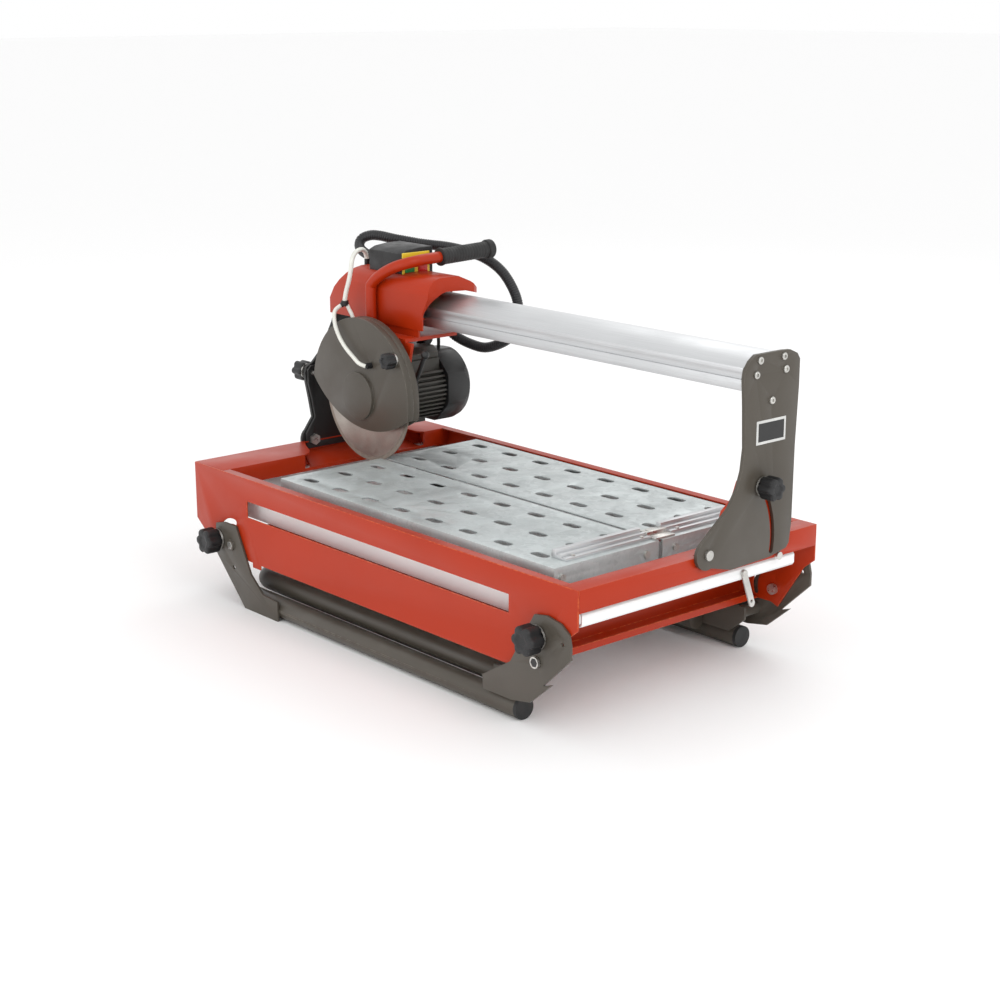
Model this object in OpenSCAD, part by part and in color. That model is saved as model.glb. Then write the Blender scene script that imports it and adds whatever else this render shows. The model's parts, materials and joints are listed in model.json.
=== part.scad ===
// Wet tile saw: a folding frame with a perforated table, a slide-out water tray, and a saw head
// that rolls along a rail. The rail and head tilt together for bevel cuts.
// X runs along the rail, Y runs from the operator to the back, Z is up.
// The origin is on the floor under the middle of the frame, with the legs folded.

/* [Frame] */
// Length of the frame over the end beams
frame_l = 950; // [940:5:960]
// Width of the frame over the side panels
frame_w = 492; // [488:2:496]
// Height of the frame's top above the floor, legs folded
frame_h = 225; // [225:1:240]
// Height of the side panels
panel_h = 142; // [140:1:144]
// Thickness of the folded sheet
sheet = 2.5; // [2:0.5:2.5]
// Length of the window slot in a side panel
window_l = 653; // [600:1:653]
// Height of the window slot in a side panel
window_h = 27.5; // [20:0.5:30]

/* [Table] */
// Length of the table
table_l = 659; // [655:1:662]
// Width of the table
table_w = 420; // [410:2:424]
// Height of the table's face above the frame's top
table_z = 4; // [3:0.5:5]
// Width of the cutting slit between the two halves
slit_w = 8; // [7:0.5:10]
// Spacing of the holes along the table
hole_pitch_x = 79; // [76:1:80]
// Spacing of the holes across the table
hole_pitch_y = 68; // [64:1:68]
// Length of a table hole
hole_l = 34; // [28:1:38]
// Width of a table hole
hole_w = 16; // [8:1:18]

/* [Rail and posts] */
// Width of the guide rail
rail_w = 114; // [110:1:114]
// Height of the guide rail
rail_t = 49; // [47:1:49]
// Thickness of a post plate
post_t = 6; // [5:0.5:6]
// Bevel range
bevel_max = 45; // [30:5:45]

/* [Saw head] */
// Diameter of the blade
blade_d = 230; // [220:5:230]
// Thickness of the blade
blade_t = 2.4; // [2:0.2:2.4]
// Outer diameter of the blade guard
guard_d = 266; // [262:1:266]
// Diameter over the motor's fins
motor_d = 122; // [116:2:124]
// Diameter of the handle tube
handle_d = 19; // [18:0.5:20]
// Diameter of the handle grip
grip_d = 28; // [26:1:30]
// Diameter of the corrugated motor conduit
conduit_d = 18; // [16:1:18]
// Diameter of the water hoses
hose_d = 8; // [6:1:8]

/* [Legs and knobs] */
// Diameter of a leg tube
tube_d = 34; // [30:1:34]
// Thickness of a leg bracket
bracket_t = 4; // [3:0.5:4]
// Diameter of a locking knob over its lobes
knob_d = 44; // [40:1:46]
// Diameter of the bevel locking knobs
bevel_knob_d = 36; // [32:1:40]
// Diameter of a knob's stud
stud_d = 8; // [6:1:8]

/* [Hidden] */
$fn = 48;
half_l = frame_l / 2;
half_w = frame_w / 2;
inner_w = half_w - sheet;
fit = 0.05;              // running clearance on a radius
gap = 0.3;               // clearance between moving faces

// Bevel axis: along X, through the cutting line on the table
bevel_z = 2;

// Guide rail, middle of its section
rail_y = 125;
rail_z0 = 228;
rail_top = rail_z0 + rail_t;
crown_r = 109.5;

// Blade axis, and the motor behind it
arbor = [-312, 108];
blade_r = blade_d / 2;
guard_r = guard_d / 2;
guard_front = -15;
guard_split = -3;
guard_back = 9;
motor_r = motor_d / 2;
flange_y = 20;

// Leg pivots and locking studs, as X and Z
pivot_a = [-363, -122.6];
stud_a = [-403, -120];
pivot_b = [398, -120];
stud_b = [400, -83];
tube_r = tube_d / 2;
tube_a = [-208, 229.7];     // Z and Y of the left legs' tubes
tube_b = [-187, 195.1];     // Z and Y of the right leg's tubes
plate_a = half_w + 0.6;       // inner face of the left brackets
plate_b = half_w + 1;         // inner face of the right brackets
foot_a = 350;
foot_b = -358;
bend_b = 30;
fold_a = 95;
fold_b = 111;

// Bevel locking studs, as Y and Z
bevel_stud_r = [110, 84];
bevel_stud_l = [1, 122];

// Rollers that run in the rail's side grooves
roller_r = 10;
roller_y = [61.7, 188.3];
near_rollers = [-385, -245];
far_rollers = [-390, -350];
groove = [244, 254];

// Switch box
box_x = [-376, -287];
box_y = [60, 128];
box_z = 296;

// Handle tube, from the arm plate up, round the switch box and back
handle_path = [[-338, 33, 212], [-338, 33, 280], [-334, 34, 293], [-316, 37, 308],
    [-291, 43, 322], [-272, 53, 330], [-262, 68, 334], [-260, 88, 336], [-260, 117, 337]];
grip_path = [[-260, 117, 337], [-260, 236, 341.5]];

// Routes of the conduit and the hoses, as centre lines
conduit_path = [[-388, 104, 324], [-410, 104, 324], [-445, 105, 326], [-470, 110, 335],
    [-477, 120, 347], [-465, 130, 354], [-449, 140, 354], [-428, 152, 350], [-410, 168, 346],
    [-395, 185, 342], [-380, 202, 339], [-358, 216, 337], [-333, 229, 333], [-304, 239, 327],
    [-279, 247, 318], [-256, 255, 303], [-238, 260, 283], [-222, 262, 258], [-213, 260, 233],
    [-209, 254, 212], [-216, 245, 192], [-236, 235, 177], [-264, 225, 168], [-292, 216, 172],
    [-315, 205, 182], [-325, 193, 195], [-330, 178, 203], [-332, 162, 205], [-330, 148, 201],
    [-322, 142, 188]];
lead_path = [[-300, 120, 203], [-300, 122, 200], [-303, 140, 197], [-307, 154, 191],
    [-311, 159, 180], [-312, 159, 169]];
hose_path = [[-382, 10, 260], [-379, 11, 275], [-375, 15, 296], [-375, 19, 312],
    [-380, 26, 329], [-388, 38, 338], [-398, 54, 341], [-410, 72, 339], [-418, 84, 331],
    [-420, 88, 321]];
hose_left_path = [[-385, 4, 252], [-384, -7, 247], [-379, -15, 241], [-371, -21, 231],
    [-363, -24, 219], [-349, -26, 203], [-330, -28, 189], [-307, -30, 177], [-290, -31, 169],
    [-278, -26, 165]];
hose_right_path = [[-379, 13, 252], [-375, 14, 245], [-368, 14.5, 236], [-363, 14.5, 226],
    [-360, 14.5, 214], [-358, 14.5, 203], [-356, 14.5, 195]];

ORANGE = [0.80, 0.25, 0.06];
DARK = [0.28, 0.25, 0.22];
BLACK = [0.07, 0.07, 0.07];
ZINC = [0.72, 0.74, 0.73];
ALU = [0.80, 0.81, 0.82];
STEEL = [0.62, 0.62, 0.60];

// ---------- helpers ----------

// Raises a piece drawn from the frame's top to its height above the floor
module lift() translate([0, 0, frame_h]) children();

module block(x, y, z) translate([x[0], y[0], z[0]]) cube([x[1] - x[0], y[1] - y[0], z[1] - z[0]]);
module rod_x(x, c, r) translate([x[0], c[0], c[1]]) rotate([0, 90, 0]) cylinder(r = r, h = x[1] - x[0]);
module rod_y(y, c, r) translate([c[0], y[0], c[1]]) rotate([-90, 0, 0]) cylinder(r = r, h = y[1] - y[0]);
module rod_z(z, c, r) translate([c[0], c[1], z[0]]) cylinder(r = r, h = z[1] - z[0]);

// A 2D outline in Y and Z, pulled along X, and one in X and Z, pulled along Y
module along_x(x) translate([x[0], 0, 0]) rotate([90, 0, 90]) linear_extrude(x[1] - x[0]) children();
module along_y(y) translate([0, y[1], 0]) rotate([90, 0, 0]) linear_extrude(y[1] - y[0]) children();

module both_sides() {
    children();
    mirror([0, 1, 0]) children();
}

module slot_2d(length, width) {
    square([length - width, width], center = true);
    for (s = [-1, 1]) translate([s * (length - width) / 2, 0]) circle(d = width);
}

function ring_points(r, a, b, n, c = [0, 0]) =
    [for (i = [0 : n]) c + r * [cos(a + (b - a) * i / n), sin(a + (b - a) * i / n)]];
// A curved slot about the origin, from angle a to angle b, with round ends
module arc_slot_2d(r, width, a, b) {
    turn = b > a ? 180 : -180;
    polygon(concat(
        ring_points(r + width / 2, a, b, 20),
        ring_points(width / 2, b + turn / 8, b + turn * 7 / 8, 6, r * [cos(b), sin(b)]),
        ring_points(r - width / 2, b, a, 20),
        ring_points(width / 2, a - turn * 7 / 8, a - turn / 8, 6, r * [cos(a), sin(a)])));
}

// A round tube through a list of points, with ball corners
module pipe(path, r) {
    for (i = [0 : len(path) - 2]) {
        d = path[i + 1] - path[i];
        translate(path[i])
            rotate([0, acos(d[2] / norm(d)), atan2(d[1], d[0])])
                cylinder(r = r, h = norm(d));
    }
    if (len(path) > 2) for (i = [1 : len(path) - 2]) translate(path[i]) sphere(r = r);
}

function unit(v) = v / norm(v);
function along(path, i) = let (n = len(path) - 1)
    unit(path[min(i + 1, n)] - path[max(i - 1, 0)]);
// Side vectors carried along a path without twist
function sides_of(path, i = 0, last = [0, 0, 0]) = i >= len(path) ? [] :
    let (t = along(path, i),
         seed = i == 0 ? cross(t, abs(t[2]) > 0.9 ? [1, 0, 0] : [0, 0, 1]) : last - (last * t) * t,
         s = unit(seed))
    concat([s], sides_of(path, i + 1, s));

// A smooth curve through a list of points, with n steps a span
function smooth(path, n) = let (last = len(path) - 1) concat(
    [for (i = [0 : last - 1], k = [0 : n - 1]) let (t = k / n,
        p = path[max(i - 1, 0)], q = path[i], r = path[i + 1], s = path[min(i + 2, last)])
        (2 * q + (r - p) * t + (2 * p - 5 * q + 4 * r - s) * t * t
            + (3 * q - p - 3 * r + s) * t * t * t) / 2],
    [path[last]]);

// A cord swept along its route as one closed tube
module cord(path, d, n) {
    side = sides_of(path);
    rings = len(path);
    points = [for (i = [0 : rings - 1], k = [0 : n - 1])
        let (t = along(path, i), s = side[i], u = cross(t, s))
        path[i] + d / 2 * (cos(360 * k / n) * s + sin(360 * k / n) * u)];
    walls = [for (i = [0 : rings - 2], k = [0 : n - 1])
        [i * n + k, (i + 1) * n + k, (i + 1) * n + (k + 1) % n, i * n + (k + 1) % n]];
    ends = [[for (k = [0 : n - 1]) k], [for (k = [n - 1 : -1 : 0]) (rings - 1) * n + k]];
    polyhedron(points, concat(walls, ends), convexity = 8);
}

// A lobed knob standing on the origin, head up, with its stud below
module knob(size, head, stud, stud_r) {
    lobe_r = size * 0.16;
    difference() {
        union() {
            cylinder(r = size * 0.37, h = head);
            for (i = [0 : 5]) rotate(60 * i) translate([size / 2 - lobe_r, 0, 0])
                cylinder(r = lobe_r, h = head);
            translate([0, 0, -3]) cylinder(r = size * 0.27, h = 3);
        }
        translate([0, 0, head - 2]) cylinder(r = size * 0.24, h = 3);
    }
    translate([0, 0, -stud]) cylinder(r = stud_r, h = stud);
}

// ---------- frame ----------

panel_outline = [[-half_l, 0], [half_l, 0], [half_l, -57], [half_l - 19, -72], [407, -147],
    [394, -panel_h], [-285, -panel_h], [-285, -150], [-308, -150], [-308, -panel_h],
    [-425, -panel_h], [-452, -115], [-half_l, -98]];

module side_panel() {
    lip = 16;
    difference() {
        union() {
            along_y([-half_w, -inner_w]) polygon(panel_outline);
            block([-half_l, half_l], [-half_w, -half_w + lip], [-sheet, 0]);
        }
        along_y([-half_w - 1, -inner_w + 1]) {
            translate([7.5, -52.5]) square([window_l, window_h], center = true);
            translate(pivot_a) {
                circle(r = 8 + fit);
                arc_slot_2d(norm(stud_a - pivot_a), 9.5, 176.3, 176.3 - fold_a);
            }
            translate(pivot_b) {
                circle(r = 5 + fit);
                arc_slot_2d(norm(stud_b - pivot_b), 9.5, 86.9, 86.9 + fold_b);
            }
        }
        block([-half_l - 1, -389.9], [-inner_w, 0], [-sheet - 1, 1]);
        block([441.9, half_l + 1], [-inner_w, 0], [-sheet - 1, 1]);
    }
}
module side_panel_near() color(ORANGE) lift() side_panel();
module side_panel_far() color(ORANGE) lift() mirror([0, 1, 0]) side_panel();

bracket_seat = [-18, 172];
bracket_low = -14;

// Cuts that let a bevel bracket and its pivot nut through the flange
module bracket_cuts() {
    block([half_l - 5.1, half_l + 1], bracket_seat, [bracket_low, 1]);
    block([half_l - 12, half_l - 4], [-12, 12], [bracket_low, 1]);
}

module end_beam_right() color(ORANGE) lift() difference() {
    union() {
        block([half_l - sheet, half_l], [-inner_w, inner_w], [-33, 0]);
        block([442, half_l], [-inner_w, inner_w], [-sheet, 0]);
        block([442, 442 + sheet], [-inner_w, inner_w], [-12, 0]);
    }
    bracket_cuts();
    rod_x([half_l - 10, half_l + 1], [158, -31], 3);
}

// Area where the left flange is sunk below the carriage
module sunk_2d() polygon([[-half_l + 5.2, -20], [-450, -33], [-424, -46], [-409, -53], [-398, -63],
    [-392, -76], [-380, -80], [-380, 192], [-393, 186], [-402, 179], [-half_l + 5.2, 179]]);

module end_beam_left() color(ORANGE) lift() {
    inner_x = -390;
    difference() {
        union() {
            block([-half_l, -half_l + sheet], [-inner_w, inner_w], [-98, 0]);
            block([-half_l, inner_x], [-inner_w, inner_w], [-sheet, 0]);
            block([inner_x - sheet, inner_x], [-inner_w, inner_w], [-30, 0]);
        }
        mirror([1, 0, 0]) bracket_cuts();
        translate([0, 0, -25]) linear_extrude(30) sunk_2d();
    }
    intersection() {
        along_y([-90, 200]) polygon([[-half_l + 5.2, -16], [-half_l + 5.2, -18.5],
            [inner_x, -30], [inner_x, -27.5]]);
        translate([0, 0, -40]) linear_extrude(40) sunk_2d();
    }
}

module cross_rail() {
    block([328, 368], [-inner_w, inner_w], [-panel_h, -panel_h + sheet]);
    block([368 - sheet, 368], [-inner_w, inner_w], [-panel_h, -142]);
    block([368 - sheet, 368], [15 - inner_w, inner_w - 15], [-142, -131]);
    block([328, 328 + sheet], [-inner_w, inner_w], [-panel_h, -100]);
}
module lower_cross_rails() color(ORANGE) lift() {
    cross_rail();
    translate([28, 0, 0]) mirror([1, 0, 0]) cross_rail();
}

module bevel_bracket_right() color(ORANGE) lift() along_x([half_l - 5, half_l]) difference() {
    polygon([[-16, bracket_low], [172, bracket_low], [172, 72], [150, 104], [88, 106], [67, 97],
        [57, 73], [36, 58], [30, 40], [12, 24], [-6, 18], [-16, 4]]);
    translate([0, bevel_z]) circle(r = 6 + fit);
    translate(bevel_stud_r) circle(r = stud_d / 2 + fit);
}

module bevel_bracket_left() color(BLACK) lift() along_x([-half_l, -half_l + 5]) difference() {
    polygon([[-16, bracket_low], [172, bracket_low], [172, 40], [70, 100], [26, 135], [-2, 135],
        [-9, 128], [-9, 104], [-2, 75], [4, 41], [-16, 14]]);
    translate([0, bevel_z]) circle(r = 6 + fit);
    translate(bevel_stud_l) circle(r = stud_d / 2 + fit);
}

// Two bars under the table and two runners under the water tray
module inner_supports() color(ORANGE) lift() {
    for (x = [-200, 300]) block([x, x + 20], [-inner_w, inner_w], [-27, table_z - 25]);
    both_sides() {
        block([-295, 325], [-inner_w, -212], [-79, -77]);
        block([-295, 325], [-inner_w, -inner_w + 2], [-95, -79]);
    }
}

// ---------- table and fence ----------

table_x0 = -270;
table_x1 = table_x0 + table_l;

module table_half() {
    edge = table_w / 2;
    low = table_z - 25;
    difference() {
        union() {
            block([table_x0, table_x1], [slit_w / 2, edge], [table_z - sheet, table_z]);
            block([table_x0, table_x1], [edge - sheet, edge], [low, table_z]);
            block([table_x0, table_x0 + sheet], [14, edge], [low, table_z]);
            block([table_x1 - sheet, table_x1], [slit_w / 2, edge], [low - 6, table_z]);
        }
        for (i = [0 : 7], j = [0 : 2])
            translate([-226 + hole_pitch_x * i, 44 + hole_pitch_y * j, table_z - 4])
                linear_extrude(6) slot_2d(hole_l, hole_w);
        for (y = [30, 196]) rod_x([table_x1 - 4, table_x1 + 1], [y, -12], 2.5);
    }
}
module table_far() color(ZINC) lift() table_half();
module table_near() color(ZINC) lift() mirror([0, 1, 0]) table_half();

fence_x = 346;
module fence_strip(y) along_y(y) translate([fence_x, table_z])
    polygon([[0, 0], [31, 0], [31, 5], [24, 5], [24, 3], [20, 3], [20, 8], [14, 8], [14, 6], [9, 6],
        [9, 12], [0, 12]]);
module fence_strips() color(STEEL) lift() {
    fence_strip([-176, -8]);
    fence_strip([34, 176]);
}

module fence_pointer() color(ALU) lift() difference() {
    union() {
        block([fence_x - 6, fence_x + 40], [-7.5, 33], [table_z, table_z + 3]);
        block([fence_x + 8, fence_x + 22], [-7.5, 33], [table_z, table_z + 8]);
    }
    block([fence_x - 8, fence_x + 16], [-2, 2], [table_z - 1, table_z + 10]);
}

module frame_fasteners() color(STEEL) lift() {
    for (s = [-1, 1]) mirror([s < 0 ? 1 : 0, 0, 0]) {
        rod_x([half_l - 8, half_l + post_t + 1.3], [0, bevel_z], 6);
        rod_x([half_l + post_t + gap + 0.2, half_l + post_t + 4.5], [0, bevel_z], 7.5);
        translate([half_l - 11, 0, bevel_z]) rotate([0, 90, 0]) cylinder(r = 10, h = 6, $fn = 6);
    }
    both_sides() {
        rod_y([-plate_b - bracket_t - 1.2, -half_w + 8], pivot_b, 5);
        rod_y([-plate_b - bracket_t - 5, -plate_b - bracket_t - 0.5], pivot_b, 8.5);
        rod_y([-inner_w, -inner_w + 6], pivot_b, 8.5);
    }
    rod_x([half_l, half_l + 5], [158, -31], 6);
    rod_x([half_l - 9, half_l], [158, -31], 2.95);
    for (y = [-160, -24, 50, 160]) rod_z([table_z + 5, table_z + 7], [fence_x + 27.4, y], 3);
    for (y = [-196, -30, 30, 196]) {
        rod_x([table_x1, table_x1 + 3.5], [y, -12], 5.5);
        rod_x([table_x1 - 7, table_x1], [y, -12], 2.45);
    }
}

// ---------- water tray ----------

// Pin of the tray's pull bar
pull_pin = [91, -46];
module water_tray() color([0.86, 0.87, 0.87]) lift() {
    wall = 2;
    length = [-440, 425];
    side = 222;
    difference() {
        union() {
            difference() {
                union() {
                    block(length, [-side, side], [-76, -36]);
                    block([length[0] - 8, length[1] + 8], [-side - 9, side + 9], [-38, -36]);
                }
                block([length[0] + wall, length[1] - wall], [-side + wall, side - wall], [-74, -30]);
            }
            block([length[1], 465], [-222, 205], [-38, -36]);
            difference() {
                along_y([-232, 205]) polygon([[461, -36], [465, -36], [468, -40], [468, -53],
                    [465, -57], [458, -57], [458, -55], [464, -55], [466, -52], [466, -41],
                    [464, -38], [461, -38]]);
                rod_x([462, 472], pull_pin, 3 + fit);
            }
        }
        rod_z([-80, -70], [-380, 150], 9 + fit);
        rod_x([462, 472], pull_pin, 3 + fit);
    }
}

module drain_plug() color(BLACK) lift() {
    rod_z([-76, -73], [-380, 150], 9);
    rod_z([-74, -70], [-380, 150], 13);
    rod_z([-70, -64], [-380, 150], 6);
}

// Small submersible pump that stands in the tray
module water_pump() color(BLACK) lift() {
    block([-330, -280], [120, 165], [-74, -44]);
    rod_z([-44, -37], [-318, 142], 7);
    rod_z([-37, -33], [-318, 142], 4);
}

module tray_pull() color(STEEL) lift() {
    length = 54;
    lean = 21;
    translate([468.4, pull_pin[0], pull_pin[1]]) rotate([lean, 0, 0]) {
        rotate([0, 90, 0]) linear_extrude(3) difference() {
            translate([length / 2, 0]) square([length, 11], center = true);
            translate([length - 4, 0]) circle(r = 2.6);
        }
        rotate([0, 90, 0]) cylinder(r = 5.5, h = 3);
        translate([0, 0, -length]) rotate([0, 90, 0]) difference() {
            cylinder(r = 5.5, h = 3);
            translate([-4, 0, -1]) cylinder(r = 2.6, h = 5);
        }
    }
    rod_x([462.5, 471.4], pull_pin, 3);
    rod_x([471.4, 473], pull_pin, 5);
}

// ---------- tilting posts and rail ----------

post_top = [[65, 246], [67, 258], [76, 270], [88, 278], [145, 278], [162, 277], [178, 270],
    [184, 261], [184, 222], [180, 134], [179, 18], [175, -13], [169, -20], [133, -27], [50, -30]];

module post_holes(stud) {
    translate([0, bevel_z]) {
        circle(r = 6 + fit);
        r = norm(stud - [0, bevel_z]);
        a = atan2(stud[1] - bevel_z, stud[0]);
        arc_slot_2d(r, stud_d + 1.2, a, a - bevel_max);
    }
    for (p = concat(rail_screws, [stop_screw])) translate(p) circle(r = 3.2);
}
rail_screws = [[97, 269], [148, 269], [90, 249], [153, 250]];
stop_screw = [125, 208];

// Outline of a post: its lower front curve, its top, and the lobe round the pivot
module post_2d(front, lobe_r) polygon(concat(front, post_top,
    ring_points(lobe_r, 290, 128, 14, [0, bevel_z])));

module post_right() color(DARK) lift() along_x([half_l + gap, half_l + gap + post_t]) difference() {
    post_2d([[19, 45], [41, 62], [59, 89], [67, 113], [71, 145], [68, 207]], 22.5);
    post_holes(bevel_stud_r);
}

module post_left() color(BLACK) lift() along_x([-half_l - gap - post_t, -half_l - gap]) difference() {
    post_2d([[2, 41], [-4, 75], [-10, 105], [-12, 122], [-8, 133], [6, 140], [24, 158],
        [38, 180], [52, 207]], 22.5);
    post_holes(bevel_stud_l);
}

module rail_section() {
    y0 = rail_y - rail_w / 2;
    y1 = rail_y + rail_w / 2;
    difference() {
        intersection() {
            translate([y0, rail_z0]) square([rail_w, rail_t]);
            translate([rail_y, rail_top - crown_r]) circle(r = crown_r);
        }
        for (y = [y0 - 1, y1 - 4]) translate([y, groove[0]]) square([5, groove[1] - groove[0]]);
        for (y = [y0 + 8, y0 + 41, y0 + 74]) translate([y, rail_z0 + 4]) square([32, 28]);
        for (p = rail_screws) translate(p) circle(r = 2.5);
    }
}
module guide_rail() color(ALU) lift()
    along_x([-half_l - gap, half_l + gap]) rail_section();

module post_screws() color(STEEL) lift() for (s = [0, 1]) mirror([s, 0, 0]) {
    for (p = rail_screws) rod_x([half_l + gap - 14, half_l + gap + post_t], p, 2.5);
    rod_x([half_l + gap, half_l + gap + post_t], stop_screw, 2.5);
    rod_x([half_l + gap - 5, half_l + gap], stop_screw, 5);
    for (p = concat(rail_screws, [stop_screw]))
        rod_x([half_l + gap + post_t, half_l + gap + post_t + 3], p, 5.5);
}

module bevel_knob_right() color(BLACK) lift()
    translate([half_l + gap + post_t + 5, bevel_stud_r[0], bevel_stud_r[1]]) rotate([0, 90, 0])
        knob(bevel_knob_d, 26, 24, stud_d / 2);
module bevel_knob_left() color(BLACK) lift()
    translate([-half_l - gap - post_t - 5, bevel_stud_l[0], bevel_stud_l[1]]) rotate([0, -90, 0])
        knob(bevel_knob_d, 26, 24, stud_d / 2);

// ---------- carriage ----------

plate_x = [-400, -228];
module carriage_frame() color(ORANGE) lift() {
    difference() {
        union() {
            // arm plate under the rail
            block(plate_x, [flange_y, 132], [206, 212]);
            // plate behind the cover's near wall
            block([-400, -226], [46, 50], [212, 284]);
            // bridge over the rail to the far rollers
            along_x([-402, -338]) polygon([[46, 285], [128, 285], [160, 279], [190, 270],
                [203, 262], [203, 234], [199, 234], [199, 259], [188, 266], [158, 275.5],
                [127, 281.5], [50, 281.5], [50, 260], [46, 260]]);
            // ears that hold the roller axles
            for (x = near_rollers, z = [239, 256]) block([x - 11, x + 11], [50, 66.5], [z, z + 3]);
            for (x = far_rollers, z = [239, 256]) block([x - 11, x + 11], [183.5, 199], [z, z + 3]);
            // motor flange
            along_y([flange_y, flange_y + 6]) difference() {
                union() {
                    translate(arbor) circle(r = 66);
                    polygon([[-400, 206], [-212, 206], [-222, 166], [-212, 130],
                        [-250, 90], [-374, 90], [-400, 150]]);
                }
                translate(arbor) circle(r = 24);
                translate([-228, 128]) circle(r = 4 + fit);
            }
            // ring that carries the guard
            difference() {
                rod_y([guard_back, flange_y], arbor, 42);
                rod_y([guard_back - 1, flange_y + 1], arbor, 32);
            }
        }
        for (x = near_rollers) rod_z([236, 262], [x, roller_y[0]], 3);
        for (x = far_rollers) rod_z([236, 262], [x, roller_y[1]], 3);
    }
}

module roller_axles() color(STEEL) lift() {
    for (x = near_rollers) rod_z([238, 260], [x, roller_y[0]], 3);
    for (x = far_rollers) rod_z([238, 260], [x, roller_y[1]], 3);
}

module roller(x, y) color(BLACK) lift() translate([x, y, groove[0] + 0.5]) difference() {
    cylinder(r = roller_r, h = 9);
    translate([0, 0, -1]) cylinder(r = 3 + fit, h = 12);
    translate([6.2, 0, -1]) cylinder(r = 1.2, h = 12);
}
module roller_near_rear() roller(near_rollers[0], roller_y[0]);
module roller_near_front() roller(near_rollers[1], roller_y[0]);
module roller_far_rear() roller(far_rollers[0], roller_y[1]);
module roller_far_front() roller(far_rollers[1], roller_y[1]);

// Outline of the cover across the rail, inset by t
module cover_section(t) difference() {
    polygon([[43 + t, 225], [43 + t, 286], [47 + t * 0.8, 300 - t * 0.6], [56 + t * 0.5, 309 - t * 0.9],
        [68 + t * 0.3, 313 - t], [110, 313 - t], [136 - t * 0.5, 302 - t], [160 - t * 0.5, 287 - t],
        [206 - t, 276 - t], [209 - t, 240], [209 - t, 225]]);
    if (t == 0) translate([60, 220]) square([160, 20]);
}

module carriage_cover() color(ORANGE) lift() {
    front = -212;
    difference() {
        intersection() {
            along_x([-471, -190]) cover_section(0);
            along_y([40, 215]) polygon([[-471, 225], [front, 225], [front, 252], [-196, 282],
                [-196, 320], [-400, 320], [-438, 290], [-458, 272], [-471, 252]]);
            translate([0, 0, 200]) linear_extrude(150)
                polygon([[-480, 40], [-180, 40], [-180, 120], [-206, 158], [-330, 164],
                    [-330, 215], [-480, 215]]);
        }
        // hollow, up to the front wall and the rear wall
        intersection() {
            along_x([-468, -216]) cover_section(3);
            along_y([30, 220]) polygon([[-468, 220], [-216, 220], [-216, 252], [-206, 271],
                [-206, 317], [-399, 317], [-436, 287], [-455, 270], [-468, 252]]);
        }
        // arch for the rail at both ends
        along_x([-480, -180]) {
            translate([88, 247]) circle(r = 42);
            polygon([[46, 220], [46, 247], [88, 289], [126, 287], [158, 279], [190, 270.5],
                [206, 268], [206, 220]]);
        }
        block([box_x[0], box_x[1] + 3.2], box_y, [box_z, 330]);
        block([-230, -180], [158, 220], [200, 300]);
    }
}

// ---------- motor ----------

module motor_housing() color([0.33, 0.32, 0.28]) lift() {
    difference() {
        union() {
            rod_y([flange_y + 6, 131], arbor, 51);
            intersection() {
                rod_y([34, 128], arbor, motor_r - 1);
                union() for (i = [-6 : 4])
                    block([arbor[0] - 62, arbor[0] + 62], [34, 128],
                        [arbor[1] + 8 * i - 1.5, arbor[1] + 8 * i + 1.5]);
            }
            block([-352, -272], [48, 128], [140, 162]);
            block([-334, -290], [60, 110], [49, 62]);
        }
        rod_y([32, 125], arbor, 46);
        rod_y([flange_y + 5, 33], arbor, 17);
        rod_y([120, 132], arbor, 14);
    }
}

module fan_cowl() color([0.22, 0.22, 0.20]) lift() {
    difference() {
        translate([arbor[0], 131, arbor[1]]) rotate([-90, 0, 0]) intersection() {
            rotate_extrude() polygon([[0, 0], [65, 0], [65, 38], [62, 48], [54, 55], [42, 59], [0, 59]]);
            rotate(22.5) cylinder(r = 66.5, h = 90, $fn = 8);
        }
        rod_y([133, 184], arbor, 57);
        rod_y([120, 134], arbor, 20);
        for (r = [16, 28, 40], i = [0 : 11]) translate([arbor[0], 181, arbor[1]]) rotate([-90, 0, 0])
            rotate(30 * i) translate([r, 0, 0]) cylinder(r = r / 8 + 0.6, h = 14);
    }
}

module terminal_box() color([0.30, 0.29, 0.26]) lift() difference() {
    along_y([50, 128]) polygon([[-350, 162], [-274, 162], [-274, 172], [-286, 182], [-338, 182],
        [-350, 172]]);
    block([-342, -282], [54, 124], [165, 178]);
}

module motor_stator() color([0.45, 0.28, 0.12]) lift() difference() {
    rod_y([44, 116], arbor, 46);
    rod_y([43, 117], arbor, 33);
}

module motor_bearings() color(STEEL) lift() {
    difference() {
        rod_y([flange_y + 7, 33], arbor, 17);
        rod_y([flange_y + 6, 34], arbor, 8 + fit);
    }
    difference() {
        rod_y([121, 130], arbor, 14);
        rod_y([120, 131], arbor, 8 + fit);
    }
}

module arbor_shaft() color(STEEL) lift() rod_y([-13, 178], arbor, 8);

module motor_rotor() color([0.4, 0.38, 0.36]) lift() difference() {
    union() {
        rod_y([48, 112], arbor, 32);
        rod_y([136, 170], arbor, 16);
        rod_y([140, 143], arbor, 50);
        for (i = [0 : 7]) translate([arbor[0], 143, arbor[1]]) rotate([-90, 0, 0]) rotate(45 * i)
            translate([14, -1.2, 0]) cube([36, 2.4, 34]);
    }
    rod_y([40, 190], arbor, 8);
}

// ---------- blade and guard ----------

module saw_blade() color([0.62, 0.56, 0.50]) lift() difference() {
    rod_y([-blade_t / 2, blade_t / 2], arbor, blade_r);
    rod_y([-3, 3], arbor, 12.7);
}

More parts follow.
